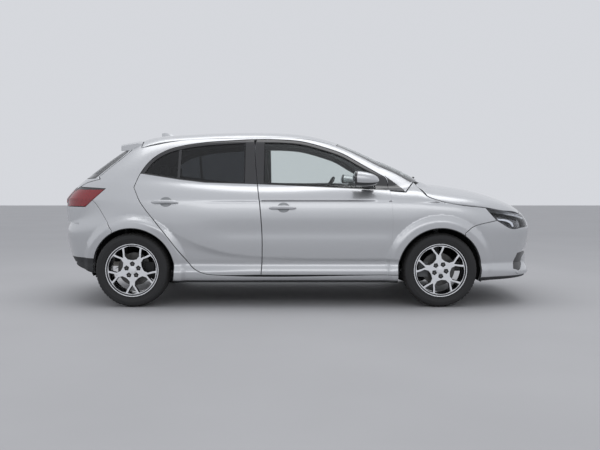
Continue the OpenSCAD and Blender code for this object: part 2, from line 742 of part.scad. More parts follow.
// The strut towers stand just above the wheel housings, and the struts reach up into them.
tower_low = liner_radius + 147;
tower_shelf = tyre_radius + liner_radius + 47;
jack_rail = [640, 690];
jack_face = 215;
module along_kingpin(from)
    translate(kingpin_foot) rotate([kingpin_lean, 0, 0]) translate([0, 0, from]) children();
module block(low, high) translate(low) cube(high - low);
module floor_pan() {
    color("dimgrey") difference() {
        union() {
            along_y(-sill_inner, sill_inner) polygon(outline(floor_profile));
            along_y(-luggage_half, luggage_half) polygon(outline(luggage_profile));
            block([station(-474), -tunnel_width / 2, 218], [station(850), tunnel_width / 2, 330]);
            block([station(1922), -520, 400], [station(1950), 520, 490]);
            both_sides() {
                block([firewall, rail_inner, 400], [station(1925), rail_inner + rail_width, 500]);
                block([front_axle - 70, rail_inner, 490],
                      [front_axle + 70, rail_inner + rail_width, tower_shelf + 10]);
                block([front_axle - 70, rail_inner, tower_shelf], [front_axle + 70, 520, tower_shelf + 8]);
                block([station(-1945), 380, 412], [station(-1150), 430, level(464)]);
                block([station(-870), jack_rail[0], jack_face], [station(-500), jack_rail[1], level(404)]);
                along_kingpin(tower_low) cylinder(r = tower_radius, h = 85);
            }
        }
        block([station(-900), -tunnel_width / 2 + 8, 150], [station(1100), tunnel_width / 2 - 8, 322]);
        both_sides() {
            for (axle = [front_axle, rear_axle])
                wheel_well(axle, liner_radius + liner_thickness + 1, well_inner - liner_thickness - 1,
                           car_side);
            along_kingpin(tower_low - 25) cylinder(r = tower_radius - 8, h = 102);
            along_kingpin(tower_low - 25) cylinder(r = 17, h = 130);
        }
    }
}
// The housings end just inside the flanks, which narrow towards both ends of the car.
housing_plan = [[-1800, 400], [-1800, 700], [-1700, 745], [-1600, 782], [-1500, 812], [-1400, 838],
                [1400, 838], [1480, 812], [1580, 770], [1600, 400]];
module wheel_housing(axle) {
    difference() {
        intersection() {
            wheel_well(axle, liner_radius + liner_thickness, well_inner - liner_thickness, car_side);
            block([axle - 500, 0, 345], [axle + 500, car_side, 900]);
            along_z(0, 900) polygon([for (p = housing_plan) [station(p[0]), breadth(p[1])]]);
        }
        wheel_well(axle, liner_radius, well_inner, car_side);
        if (axle == front_axle) along_kingpin(400) cylinder(r = spring_radius + 19, h = 250);
    }
}
module wheel_housings() {
    color("black") both_sides() {
        wheel_housing(front_axle);
        wheel_housing(rear_axle);
    }
}
shaft_radius = 14;
module engine() {
    color("grey") {
        block([station(1030), -390, 252], [station(1620), 400, 800]);
        both_sides() {
            translate([front_axle, 628, tyre_radius]) rotate([90, 0, 0]) cylinder(r = shaft_radius, h = 240);
            translate([front_axle, 596, tyre_radius]) rotate([90, 0, 0]) cylinder(r = 34, h = 60);
        }
    }
}
ball_radius = 12;
module front_subframe() {
    color("black") difference() {
        union() {
            difference() {
                block([front_axle - 190, -395, 188], [front_axle + 170, 395, 236]);
                block([front_axle - 130, -330, 180], [front_axle + 110, 330, 250]);
            }
            both_sides() {
                along_z(200, 220) polygon([
                    [front_axle - 16, kingpin_foot[1] - 10], [front_axle - 130, 380], [front_axle - 70, 380],
                    [front_axle, 590], [front_axle + 70, 380], [front_axle + 130, 380],
                    [front_axle + 16, kingpin_foot[1] - 10]]);
                along_kingpin(-10) cylinder(r = 24, h = 20);
            }
        }
        both_sides() along_kingpin(-30) cylinder(r = ball_radius + 2, h = 60);
    }
}
// Across the car, at a wheel: local z runs outwards from the wheel's centre plane
module at_wheel(axle) translate([axle, track / 2, tyre_radius]) rotate([-90, 0, 0]) children();
spindle_radius = 20;
spindle_clearance = 0.5;
disc_face = -37;
disc_width = 22;
hub_face = 7;
// The caliper bridges the disc at the wheel's rear or front edge
module caliper(axle, direction) {
    difference() {
        at_wheel(axle) union() {
            block([min(direction * 92, direction * 172), -62, disc_face - 25],
                  [max(direction * 92, direction * 172), 62, disc_face + disc_width + 25]);
            block([min(direction * 30, direction * 110), -32, -78],
                  [max(direction * 30, direction * 110), 32, disc_face - 12]);
        }
        at_wheel(axle) translate([0, 0, disc_face - 6]) cylinder(r = disc_radius + 6, h = disc_width + 12);
    }
}
module spindle(axle) {
    at_wheel(axle) {
        translate([0, 0, -113]) cylinder(r = 55, h = 70);
        translate([0, 0, -50]) cylinder(r = spindle_radius, h = 50 + hub_face + 17);
    }
}
module knuckle() {
    color("grey") {
        difference() {
            union() {
                spindle(front_axle);
                caliper(front_axle, -1);
                along_kingpin(18) cylinder(r = 20, h = 60);
                along_kingpin(130) cylinder(r = strut_radius, h = tower_low - 155);
                along_kingpin(-16) cylinder(r = ball_radius, h = 40);
                along_kingpin(tower_low - 85) cylinder(r = spring_radius, h = 7);
                along_kingpin(tower_low - 85) cylinder(r = 11, h = 166);
                along_kingpin(tower_low + 65) cylinder(r = spring_radius, h = 5);
            }
            at_wheel(front_axle) translate([0, 0, disc_face - 6]) difference() {
                cylinder(r = disc_radius + 6, h = disc_width + 12);
                translate([0, 0, -1]) cylinder(r = spindle_radius, h = disc_width + 14);
            }
        }
        difference() {
            along_kingpin(tower_low - 78) cylinder(r = spring_radius - 2, h = 143);
            along_kingpin(tower_low - 85) cylinder(r = spring_radius - 12, h = 160);
        }
    }
}
module knuckle_left() knuckle();
module knuckle_right() mirror([0, 1, 0]) knuckle();
beam_radius = 34;
module rear_axle_beam() {
    color("black") {
        translate([rear_axle + 253, 625, 300]) rotate([90, 0, 0]) cylinder(r = beam_radius, h = 1250);
        both_sides() {
            difference() {
                union() {
                    spindle(rear_axle);
                    caliper(rear_axle, 1);
                    block([rear_axle - 130, 600, 280], [rear_axle + 430, 648, 330]);
                    translate([rear_axle + 430, 660, 305]) rotate([90, 0, 0]) cylinder(r = 38, h = 72);
                    translate([rear_axle - 100, 618, 290])
                        cylinder(r = 24, h = tyre_radius + liner_radius - 318);
                    block([rear_axle + 110, 500, 282], [rear_axle + 228, 625, 322]);
                }
                at_wheel(rear_axle) translate([0, 0, disc_face - 6]) difference() {
                    cylinder(r = disc_radius + 6, h = disc_width + 12);
                    translate([0, 0, -1]) cylinder(r = spindle_radius, h = disc_width + 14);
                }
            }
            translate([rear_axle + 168, 558, 320])
                cylinder(r = 50, h = tyre_radius + liner_radius - 393);
        }
    }
}
pipe_radius = 22;
pipe_sides = 16;
pipe_route = [[1000, 0, 262], [-1010, 0, 262], [-1070, 0, 366], [-1260, 0, 366], [-1585, 0, 347]];
tail_pipe = [[-1640, 200, 335], [-1860, 200, 290]];
module pipe(route) {
    for (i = [0:len(route) - 2]) hull() {
        for (p = [route[i], route[i + 1]]) translate([station(p[0]), p[1], p[2]])
            sphere(pipe_radius, $fn = pipe_sides);
    }
}
module exhaust() {
    color("dimgrey") meshed() {
        pipe(pipe_route);
        pipe(tail_pipe);
        hull() for (x = [-1690, -1590]) translate([station(x), 290, 345]) rotate([90, 0, 0])
            cylinder(r = 60, h = 580, $fn = pipe_sides);
    }
}
module fuel_tank() {
    color("black") difference() {
        block([station(-1000), -420, 232], [station(-545), 420, tank_top]);
        block([station(-1100), -70, 200], [station(-500), 70, 310]);
    }
}
dash_profile = [[560, 720], [515, 800], [545, 915], [640, 975], [900, 992], [985, 975], [985, 640],
                [720, 640]];
wheel_centre = [275, 935];
column_tilt = 25;
module along_column(from)
    translate([station(wheel_centre[0]), seat_offset, level(wheel_centre[1])])
        rotate([0, column_tilt - 90, 0]) translate([0, 0, from]) children();
module dashboard() {
    color("dimgrey") {
        along_y(-590, 590) polygon(outline(dash_profile));
        block([station(480), -150, 600], [station(720), 150, level(760)]);
        along_column(-330) cylinder(r = 24, h = 290);
    }
}
module steering_wheel() {
    color("black") {
        along_column(0) {
            rotate_extrude() translate([steering_diameter / 2 - 15, 0]) circle(r = 15);
            translate([0, 0, -34]) cylinder(r = 62, h = 44);
            for (a = [90, 180, 270]) rotate([0, 0, a])
                translate([30, -16, -18]) cube([steering_diameter / 2 - 42, 32, 14]);
        }
    }
}
seat_profile = [[95, 300], [110, 415], [70, 448], [-40, 440], [-215, 428], [-345, 1065], [-385, 1090],
                [-452, 1080], [-440, 900], [-395, 520], [-360, 300]];
head_restraint = [[-352, 1112], [-345, 1270], [-375, 1288], [-420, 1288], [-440, 1262], [-448, 1112]];
module front_seats() {
    color("dimgrey") for (side = [-1, 1]) translate([0, side * seat_offset, 0]) {
        along_y(-seat_width / 2, seat_width / 2) polygon(outline(seat_profile));
        along_y(-125, 125) polygon(outline(head_restraint));
        for (post = [-60, 60]) translate([station(-405), post, level(1060)]) cylinder(r = 7, h = 80);
        block([station(-320), -190, 223], [station(60), 190, 310]);
    }
}
rear_cushion = [[-565, 408], [-560, 495], [-600, 520], [-985, 500], [-1000, 408]];
rear_back = [[-985, 500], [-1135, 1040], [-1180, 1062], [-1235, 1050], [-1215, 900], [-1105, 640],
             [-1100, 475], [-1000, 412]];
module rear_seat() {
    color("dimgrey") {
        along_y(-640, 640) polygon(outline(rear_cushion));
        difference() {
            along_y(-620, 620) polygon(outline(rear_back));
            both_sides() wheel_well(rear_axle, liner_radius + liner_thickness + 12, well_inner - 18, 800);
        }
        for (y = [-370, 0, 370])
            along_y(y - 115, y + 115) polygon(outline([[-1150, 1066], [-1160, 1195], [-1220, 1200], [-1235, 1066]]));
    }
}

// ---- Wheels ----
rim_half_width = 92;
flange_width = 8;
barrel_radius = rim_radius - 17;
barrel_thickness = 8;
spoke_face = 84;
spoke_depth = 22;
module tyre(axle) {
    bead = rim_half_width - flange_width - 0.3;
    half = tyre_width / 2;
    color("black") at_wheel(axle) rotate_extrude() polygon([
        [barrel_radius + 0.3, -bead], [rim_radius + 0.5, -bead], [rim_radius + 8, -half + 4],
        [(rim_radius + tyre_radius) / 2, -half], [tyre_radius - 12, -half + 10], [tyre_radius - 2, -half + 24],
        [tyre_radius, -half + 40], [tyre_radius, half - 40], [tyre_radius - 2, half - 24],
        [tyre_radius - 12, half - 10], [(rim_radius + tyre_radius) / 2, half], [rim_radius + 8, half - 4],
        [rim_radius + 0.5, bead], [barrel_radius + 0.3, bead]]);
}
function polar(r, a) = [r * cos(a), r * sin(a)];
module spoke_shape() {
    edge = barrel_radius - barrel_thickness - 8;
    difference() {
        circle(r = barrel_radius - 2);
        for (i = [0:4]) rotate(72 * i) {
            polygon([polar(74, 36 - 13), polar(116, 36 - 24), polar(edge, 36 - 21), polar(edge, 36 - 8),
                     polar(edge, 36 + 8), polar(edge, 36 + 21), polar(116, 36 + 24), polar(74, 36 + 13)]);
            polygon([polar(146, 0), polar(edge, -8), polar(edge, 8)]);
        }
    }
}
module rim(axle, phase) {
    color("silver") at_wheel(axle) difference() {
        union() {
            rotate_extrude() polygon([
                [barrel_radius - barrel_thickness, -rim_half_width], [rim_radius, -rim_half_width],
                [rim_radius, flange_width - rim_half_width], [barrel_radius, flange_width - rim_half_width],
                [barrel_radius, rim_half_width - flange_width], [rim_radius, rim_half_width - flange_width],
                [rim_radius, rim_half_width], [barrel_radius - barrel_thickness, rim_half_width]]);
            rotate(phase) translate([0, 0, spoke_face - spoke_depth]) linear_extrude(spoke_depth) spoke_shape();
            translate([0, 0, hub_face]) cylinder(r = 60, h = spoke_face - hub_face - 2);
        }
        translate([0, 0, hub_face - 1]) cylinder(r = spindle_radius + spindle_clearance, h = 22);
    }
}
module brake_disc(axle) {
    color("grey") at_wheel(axle) rotate_extrude() polygon([
        [62, disc_face], [disc_radius, disc_face], [disc_radius, disc_face + disc_width],
        [70, disc_face + disc_width], [70, hub_face], [spindle_radius + spindle_clearance, hub_face],
        [spindle_radius + spindle_clearance, hub_face - 6], [62, hub_face - 6]]);
}

// ---- The right-hand pieces and the wheels at their corners ----
module front_door_right() mirror([0, 1, 0]) front_door_left();
module rear_door_right() mirror([0, 1, 0]) rear_door_left();
module front_door_glass_right() mirror([0, 1, 0]) front_door_glass_left();
module rear_door_glass_right() mirror([0, 1, 0]) rear_door_glass_left();
module door_mirror_right() mirror([0, 1, 0]) door_mirror_left();
module tyre_front_left() tyre(front_axle);
module tyre_front_right() mirror([0, 1, 0]) tyre(front_axle);
module tyre_rear_left() tyre(rear_axle);
module tyre_rear_right() mirror([0, 1, 0]) tyre(rear_axle);
module rim_front_left() rim(front_axle, 18);
module rim_front_right() mirror([0, 1, 0]) rim(front_axle, -97);
module rim_rear_left() rim(rear_axle, -60);
module rim_rear_right() mirror([0, 1, 0]) rim(rear_axle, 90);
module brake_disc_front_left() brake_disc(front_axle);
module brake_disc_front_right() mirror([0, 1, 0]) brake_disc(front_axle);
module brake_disc_rear_left() brake_disc(rear_axle);
module brake_disc_rear_right() mirror([0, 1, 0]) brake_disc(rear_axle);

floor_pan();
side_frames();
roof_panel();
scuttle_panel();
windscreen();
front_fenders();
front_bumper();
front_grille();
rear_bumper();
headlamps();
tail_lamps();
wheel_housings();
engine();
front_subframe();
rear_axle_beam();
exhaust();
fuel_tank();
dashboard();
front_seats();
rear_seat();
steering_wheel();
knuckle_left();
knuckle_right();
tyre_front_left();
tyre_front_right();
tyre_rear_left();
tyre_rear_right();
rim_front_left();
rim_front_right();
rim_rear_left();
rim_rear_right();
brake_disc_front_left();
brake_disc_front_right();
brake_disc_rear_left();
brake_disc_rear_right();
front_door_left();
front_door_right();
rear_door_left();
rear_door_right();
front_door_glass_left();
front_door_glass_right();
rear_door_glass_left();
rear_door_glass_right();
door_mirror_left();
door_mirror_right();
tailgate();
tailgate_glass();
bonnet();
fuel_flap();
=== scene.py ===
"""A five-door hatchback car: its looks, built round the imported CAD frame.

Lengths in this file are millimetres unless a name says otherwise; meshes are made in metres.
The outer surface follows the same curves as the CAD model, so every panel lies on its CAD node.
"""
import math

import bmesh
import bpy
import numpy as np
from mathutils import Matrix, Vector
from mathutils.geometry import delaunay_2d_cdt


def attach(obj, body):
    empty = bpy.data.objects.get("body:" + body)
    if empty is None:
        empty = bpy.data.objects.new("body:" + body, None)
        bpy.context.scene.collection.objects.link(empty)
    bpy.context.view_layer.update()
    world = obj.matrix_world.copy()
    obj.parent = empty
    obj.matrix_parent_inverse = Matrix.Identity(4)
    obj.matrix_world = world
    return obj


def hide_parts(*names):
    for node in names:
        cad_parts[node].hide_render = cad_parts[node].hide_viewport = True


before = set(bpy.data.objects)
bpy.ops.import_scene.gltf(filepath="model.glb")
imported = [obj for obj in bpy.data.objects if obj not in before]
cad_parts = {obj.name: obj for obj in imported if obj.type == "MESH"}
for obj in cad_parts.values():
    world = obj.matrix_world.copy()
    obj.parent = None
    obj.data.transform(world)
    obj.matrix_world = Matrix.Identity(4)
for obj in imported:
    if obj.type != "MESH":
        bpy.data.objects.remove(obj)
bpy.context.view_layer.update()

MM = 0.001
FRONT_AXLE, REAR_AXLE, AXLE_HEIGHT = 1186.5, -1383.5, 310.0
HALF_TRACK = 768.0
GAP = 3.0          # half of a shut line
HEM = 3.0          # radius of a panel's folded edge
ARCH = 352.0       # radius of a wheel opening
ARCH_CREASE = 454.0
LAMP_LID, HATCH_LAMP_LID = 981.0, 978.0


# ---- Curves -------------------------------------------------------------------------------
def spline(points):
    """A natural cubic spline through points, as a function of an array."""
    p = np.array(points, float)
    x, y, n = p[:, 0], p[:, 1], len(p)
    h = np.diff(x)
    a, b = np.zeros((n, n)), np.zeros(n)
    a[0, 0] = a[-1, -1] = 1
    for i in range(1, n - 1):
        a[i, i - 1], a[i, i], a[i, i + 1] = h[i - 1] / 6, (h[i - 1] + h[i]) / 3, h[i] / 6
        b[i] = (y[i + 1] - y[i]) / h[i] - (y[i] - y[i - 1]) / h[i - 1]
    m = np.linalg.solve(a, b)

    q = np.linspace(x[0], x[-1], int(x[-1] - x[0]) * 2)
    i = np.clip(np.searchsorted(x, q, side="right") - 1, 0, n - 2)
    u = (x[i + 1] - q) / h[i]
    v = 1 - u
    table = u * y[i] + v * y[i + 1] + ((u**3 - u) * m[i] + (v**3 - v) * m[i + 1]) * h[i] ** 2 / 6
    return lambda at: np.interp(at, q, table)


def ease(t):
    c = np.clip(t, 0, 1)
    return c * c * (3 - 2 * c)


def smooth_max(a, b, k):
    h = np.maximum(k - np.abs(a - b), 0) / k
    return np.maximum(a, b) + h**3 * k / 6


def smooth_min(a, b, k):
    return -smooth_max(-a, -b, k)


# ---- The outer surface --------------------------------------------------------------------
nose = spline([[150, 1900], [200, 1985], [240, 2040], [320, 2034], [430, 2034], [520, 2046],
               [600, 2056], [680, 2052], [740, 2030], [800, 1992], [900, 1930], [1100, 1850]])
tail = spline([[150, 1850], [260, 1950], [340, 1995], [400, 2025], [480, 2045], [560, 2056],
               [630, 2054], [690, 2025], [740, 1965], [790, 1938], [860, 1938], [930, 1945],
               [980, 1938], [1040, 1905], [1100, 1860]])
flank = spline([[150, 780], [200, 822], [235, 850], [270, 862], [300, 866], [330, 862],
                [358, 851], [390, 858], [425, 867], [500, 880], [600, 888], [700, 890],
                [780, 888], [850, 880], [892, 871], [940, 850], [1000, 820], [1060, 795],
                [1150, 770]])
deck = spline([[-2056, 900], [-1960, 980], [-1900, 1040], [-1850, 1075], [-1700, 1095],
               [-1400, 1090], [-1000, 1062], [-500, 1030], [0, 1020], [500, 1015], [900, 1040],
               [1000, 1055], [1100, 1044], [1262, 1024], [1400, 1004], [1515, 984], [1683, 942],
               [1852, 880], [1950, 828], [2020, 770], [2056, 720]])
deck_drop = spline([[-2056, 60], [-1400, 20], [0, 10], [700, 20], [1000, 90], [1300, 115],
                    [2056, 115]])
belly = spline([[-2056, 345], [-1750, 262], [-1383, 215], [-900, 205], [900, 205],
                [1186, 195], [1550, 184], [1900, 206], [2056, 232]])
cabin_side = spline([[900, 800], [1020, 774], [1120, 738], [1210, 699], [1300, 657],
                     [1400, 606], [1500, 550]])
screen = spline([[900, 1370], [1000, 1190], [1061, 1075], [1103, 1000], [1181, 850],
                 [1265, 690], [1342, 535], [1397, 405], [1440, 285], [1500, 80]])
backlight = spline([[900, 2060], [1000, 1975], [1075, 1890], [1150, 1795], [1230, 1690],
                    [1304, 1590], [1360, 1510], [1420, 1415], [1500, 1280]])
roof = spline([[-1700, 1380], [-1600, 1402], [-1450, 1432], [-1353, 1447], [-1240, 1463],
               [-1000, 1482], [-805, 1492], [-444, 1502], [-200, 1498], [-82, 1492],
               [81, 1474], [249, 1438], [400, 1392], [550, 1335], [700, 1270]])
# Pressed lines in the flank: the shoulder crease and the upper edge of the lower scallop
crease_height = spline([[-1400, 906], [-900, 893], [-341, 890], [744, 888], [1100, 880],
                        [1400, 862]])
scallop_height = spline([[-1250, 715], [-1080, 650], [-950, 585], [-800, 520], [-600, 460],
                         [-300, 425], [700, 402], [900, 400]])


def step_down(t, rise, fade):
    """A crease: nothing above it, a quick step in below it that fades away."""
    t = np.maximum(t, 0)
    return (1 - np.exp(-t / rise)) * np.exp(-t / fade)


def relief(x, y, z):
    """How far the pressed lines lie inside the plain surface."""
    flanks = ease((np.abs(y) - 600) / 90)
    crease = 6.5 * ease((x + 950) / 260) * ease((1420 - x) / 380)
    cut = crease * step_down(crease_height(x) - z, 2.6, 34)
    top = scallop_height(x)
    share = np.clip((top - z) / (top - 355), 0, 1)
    hollow = (8 + 14 * ease((-330 - x) / 520)) * ease((x + 1250) / 150) * ease((900 - x) / 120)
    cut = cut + hollow * np.sin(np.minimum(2.2 * share, 1) * math.pi / 2) * ease((z - 292) / 50)
    wave = ease((x + 900) / 420) * ease((1000 - x) / 250)
    cut = cut + 6.5 * wave * np.exp(-(((z - 632) / 66) ** 2))
    for axle in (FRONT_AXLE, REAR_AXLE):
        ring = np.hypot(x - axle, z - AXLE_HEIGHT)
        cut = cut + 3.4 * step_down(ring - ARCH_CREASE, 5, 34) * ease((z - 340) / 80)
    return cut * flanks


def oval(x, y, a, b, n):
    u, v = np.maximum(np.abs(x) / a, 1e-6), np.maximum(np.abs(y) / b, 1e-6)
    s = u**n + v**n
    slope = np.hypot(u ** (n - 1) / a, v ** (n - 1) / b)
    return (s ** (1 / n) - 1) * s ** ((n - 1) / n) / slope


def flare(x, z, axle, out):
    return out * ease((462 - np.hypot(x - axle, z - AXLE_HEIGHT)) / 62)


def outside(x, y, z, depth=0.0):
    """Signed distance, near zero, from the car's outer surface sunk by depth."""
    half = flank(z) + flare(x, z, FRONT_AXLE, 20) + flare(x, z, REAR_AXLE, 36)
    wall = oval(x, y, np.where(x > 0, nose(z), tail(z)), half, 4.5)
    top = z - deck(x) + deck_drop(x) * (np.abs(y) / 850) ** 2.4
    under = belly(x) - z - np.where(np.asarray(depth) > 0, 40, 0)
    lower = smooth_max(smooth_max(wall, top, 130) + depth, under, 50)
    reach = np.where(x > -300, screen(z) + 300, backlight(z) - 300)
    pillar = oval(x + 300, y, reach, cabin_side(z), 5)
    lid = z - roof(x) + 48 * (np.abs(y) / 600) ** 2.2
    cabin = np.maximum(smooth_max(pillar, lid, 150) + depth, 700 - z)
    return smooth_min(lower, cabin, 40) + relief(x, y, z)


def solve(point, depth, low, high):
    """Where each ray point(t) leaves the surface sunk by depth: by halves, then by slopes."""
    low, high = np.full(depth.shape, float(low)), np.full(depth.shape, float(high))
    for _ in range(9):
        middle = (low + high) / 2
        out = outside(*point(middle), depth) > 0
        high, low = np.where(out, middle, high), np.where(out, low, middle)
    at_low, at_high = outside(*point(low), depth), outside(*point(high), depth)
    for _ in range(4):
        share = at_low / np.minimum(at_low - at_high, -1e-9)
        middle = low + (high - low) * np.clip(share, 0.02, 0.98)
        here = outside(*point(middle), depth)
        out = here > 0
        high, low = np.where(out, middle, high), np.where(out, low, middle)
        at_high, at_low = np.where(out, here, at_high * 0.7), np.where(out, at_low * 0.7, here)
    return np.stack(point(middle), axis=-1)


def normals_at(p, depth):
    e = 0.6
    x, y, z = p[:, 0], p[:, 1], p[:, 2]
    g = np.stack([outside(x + e, y, z, depth) - outside(x - e, y, z, depth),
                  outside(x, y + e, z, depth) - outside(x, y - e, z, depth),
                  outside(x, y, z + e, depth) - outside(x, y, z - e, depth)], axis=-1)
    return g / np.maximum(np.linalg.norm(g, axis=1), 1e-9)[:, None]


# Three ways to lay a flat drawing on the surface: from the side, from above, and wrapped
# round an upright axis.
def from_side(uv, depth):
    u, v = uv[:, 0], uv[:, 1]
    return solve(lambda t: (u, t, v), depth, 0, 1000)


def from_above(uv, depth):
    u, v = uv[:, 0], uv[:, 1]
    return solve(lambda t: (u, v, t), depth, 560, 1600)


WRAP_RADIUS = 850.0    # turns an angle round the axis into an arc length


def wrapped(axis, facing):
    """A drawing of (arc, height) wrapped round an upright axis at x = axis."""

    def place(uv, depth):
        a = uv[:, 0] / WRAP_RADIUS
        return solve(lambda t: (axis + facing * t * np.cos(a), t * np.sin(a), uv[:, 1]),
                     depth, 0, 1500)

    return place


NOSE_AXIS, TAIL_AXIS, HATCH_AXIS = 1186.5, -1383.5, -900.0
on_nose, on_tail, on_hatch = wrapped(NOSE_AXIS, 1), wrapped(TAIL_AXIS, -1), wrapped(HATCH_AXIS, -1)


def side_y(x, z, depth=0.0):
    """Half width of the surface at a point of the side view."""
    d = np.array([float(depth)])
    return float(from_side(np.array([[x, z]], float), d)[0, 1])


def top_z(x, y, depth=0.0):
    return float(from_above(np.array([[x, y]], float), np.array([float(depth)]))[0, 2])


def end_x(y, z, facing):
    """Reach of the nose or tail at a point of the front or rear view."""
    y, z = np.array([float(y)]), np.array([float(z)])
    p = solve(lambda t: (facing * t, y, z), np.zeros(1), 300, 2200)
    return float(p[0, 0])


def arc_of_side(x, z, axis, facing):
    """A side-view point as a point of the drawing wrapped round that axis."""
    return [math.atan2(side_y(x, z), facing * (x - axis)) * WRAP_RADIUS, z]


def arc_of_end(y, z, axis, facing):
    x = end_x(y, z, facing)
    return [math.atan2(y, facing * (x - axis)) * WRAP_RADIUS, z]


# ---- Outlines -----------------------------------------------------------------------------
def loop(points, grow=0.0, step=14.0, sharp=32.0):
    """A closed outline sampled along smooth curves, with its sharp corners kept.

    The number of samples doesn't depend on grow, so that grown copies join up.
    """
    p = np.array(points, float)
    n = len(p)
    area = 0.5 * np.sum(p[:, 0] * np.roll(p[:, 1], -1) - np.roll(p[:, 0], -1) * p[:, 1])
    turn_sign = 1.0 if area > 0 else -1.0
    edge = np.roll(p, -1, axis=0) - p
    length = np.maximum(np.linalg.norm(edge, axis=1), 1e-6)
    way = edge / length[:, None]
    before = np.roll(way, 1, axis=0)
    outward = np.stack([way[:, 1], -way[:, 0]], axis=1) * turn_sign
    outward_before = np.roll(outward, 1, axis=0)
    middle = outward + outward_before
    middle /= np.maximum(np.linalg.norm(middle, axis=1), 1e-6)[:, None]
    spread = np.maximum(np.sum(middle * outward, axis=1), 0.4)
    moved = p + middle * (grow / spread)[:, None]
    corner = np.degrees(np.arccos(np.clip(np.sum(way * before, axis=1), -1, 1))) > sharp
    edge = np.roll(moved, -1, axis=0) - moved
    new_length = np.maximum(np.linalg.norm(edge, axis=1), 1e-6)
    way = edge / new_length[:, None]
    before = np.roll(way, 1, axis=0)
    tangent = way + before
    tangent /= np.maximum(np.linalg.norm(tangent, axis=1), 1e-6)[:, None]
    out = []
    for i in range(n):
        j = (i + 1) % n
        start = way[i] if corner[i] else tangent[i]
        end = way[i] if corner[j] else tangent[j]
        pieces = max(1, int(round(length[i] / step)))
        for s in range(pieces):
            t = s / pieces
            out.append((2 * t**3 - 3 * t**2 + 1) * moved[i] + (3 * t**2 - 2 * t**3) * moved[j]
                       + new_length[i] * ((t**3 - 2 * t**2 + t) * start + (t**3 - t**2) * end))
    return np.array(out)


def arc(cx, cz, radius, start, end, count=15):
    return [[cx + radius * math.cos(math.radians(start + (end - start) * i / count)),
             cz + radius * math.sin(math.radians(start + (end - start) * i / count))]
            for i in range(count + 1)]


def clip(points, nx, nz, limit):
    """The part of an outline where nx * x + nz * z is at least limit."""
    out = []
    for a, b in zip(points, points[1:] + points[:1]):
        da, db = nx * a[0] + nz * a[1] - limit, nx * b[0] + nz * b[1] - limit
        if da >= 0:
            out.append(list(a))
        if (da >= 0) != (db >= 0):
            t = da / (da - db)
            out.append([a[0] + (b[0] - a[0]) * t, a[1] + (b[1] - a[1]) * t])
    return out


def above_line(points, a, b):
    """The part of an outline above the line from a to b, where a is on the left."""
    nx, nz = -(b[1] - a[1]), b[0] - a[0]
    return clip(points, nx, nz, nx * a[0] + nz * a[1])


def grown(points, grow):
    """An outline's own corners moved out by grow."""
    return loop(points, grow, step=1e9).tolist()


def mirrored(points):
    """A symmetric outline from its half, which starts and ends on the middle line."""
    return points + [[-p[0], p[1]] for p in points[::-1] if abs(p[0]) > 1e-6]


def inside(loops, q):
    """Whether points lie inside the first loop and outside the others."""
    count = np.zeros(len(q), int)
    for l in loops:
        x1, y1 = l[:, 0], l[:, 1]
        x2, y2 = np.roll(x1, -1), np.roll(y1, -1)
        for s in range(0, len(q), 4000):
            px, py = q[s:s + 4000, 0][:, None], q[s:s + 4000, 1][:, None]
            hit = (y1 > py) != (y2 > py)
            with np.errstate(divide="ignore", invalid="ignore"):
                cross = px < (x2 - x1) * (py - y1) / (y2 - y1) + x1
            count[s:s + 4000] += np.sum(hit & cross, axis=1)
    return count % 2 == 1


def within(points, outline, grow):
    """The points that lie inside an outline moved out by grow."""
    return [q for q, hit in zip(points, inside([loop(outline, grow)], np.array(points))) if hit]


def fill(loops, step, lines=()):
    """Triangles over the area between loops, on an even grid. Returns points and triangles;
    the loops' own points come first, in order."""
    border = np.vstack(loops)
    edges, base = [], 0
    for l in loops:
        edges += [(base + i, base + (i + 1) % len(l)) for i in range(len(l))]
        base += len(l)
    extra = []
    for line in lines:
        start = base + len(extra)
        extra += [list(p) for p in line]
        edges += [(start + i, start + i + 1) for i in range(len(line) - 1)]
    low, high = border.min(0), border.max(0)
    xs = np.arange(low[0], high[0] + step, step)
    ys = np.arange(low[1], high[1] + step, step * 0.87)
    gx, gy = np.meshgrid(xs, ys)
    gx = gx + (np.arange(len(ys)) % 2)[:, None] * step / 2
    grid = np.stack([gx.ravel(), gy.ravel()], axis=1)
    grid = grid[inside(loops, grid)]
    fence = np.vstack([border, np.array(extra)]) if extra else border
    keep = np.ones(len(grid), bool)
    for s in range(0, len(grid), 2000):
        d = grid[s:s + 2000, None, :] - fence[None]
        keep[s:s + 2000] = np.min(np.einsum("ijk,ijk->ij", d, d), axis=1) > (0.55 * step) ** 2
    grid = grid[keep]
    points = np.vstack([border] + ([np.array(extra)] if extra else []) + [grid])
    made = delaunay_2d_cdt([Vector(p) for p in points], edges, [], 0, 1e-4)
    verts, origin = np.array([list(v) for v in made[0]]), made[3]
    where = np.full(len(border), -1)
    for new, olds in enumerate(origin):
        for old in olds:
            if old < len(border):
                where[old] = new
    order = list(dict.fromkeys(int(w) for w in where))
    if len(order) != len(border):
        raise ValueError("an outline crosses or repeats itself")
    rest = [i for i in range(len(verts)) if i not in set(order)]
    index = np.empty(len(verts), int)
    index[order + rest] = np.arange(len(verts))
    verts = verts[order + rest]
    tris = index[np.array([f for f in made[2] if len(f) == 3])]
    tris = tris[inside(loops, verts[tris].mean(1))]
    a, b, c = verts[tris[:, 0]], verts[tris[:, 1]], verts[tris[:, 2]]
    turn = (b[:, 0] - a[:, 0]) * (c[:, 1] - a[:, 1]) - (b[:, 1] - a[:, 1]) * (c[:, 0] - a[:, 0])
    tris[turn < 0] = tris[turn < 0][:, ::-1]
    return verts, tris[np.abs(turn) > 1e-6]


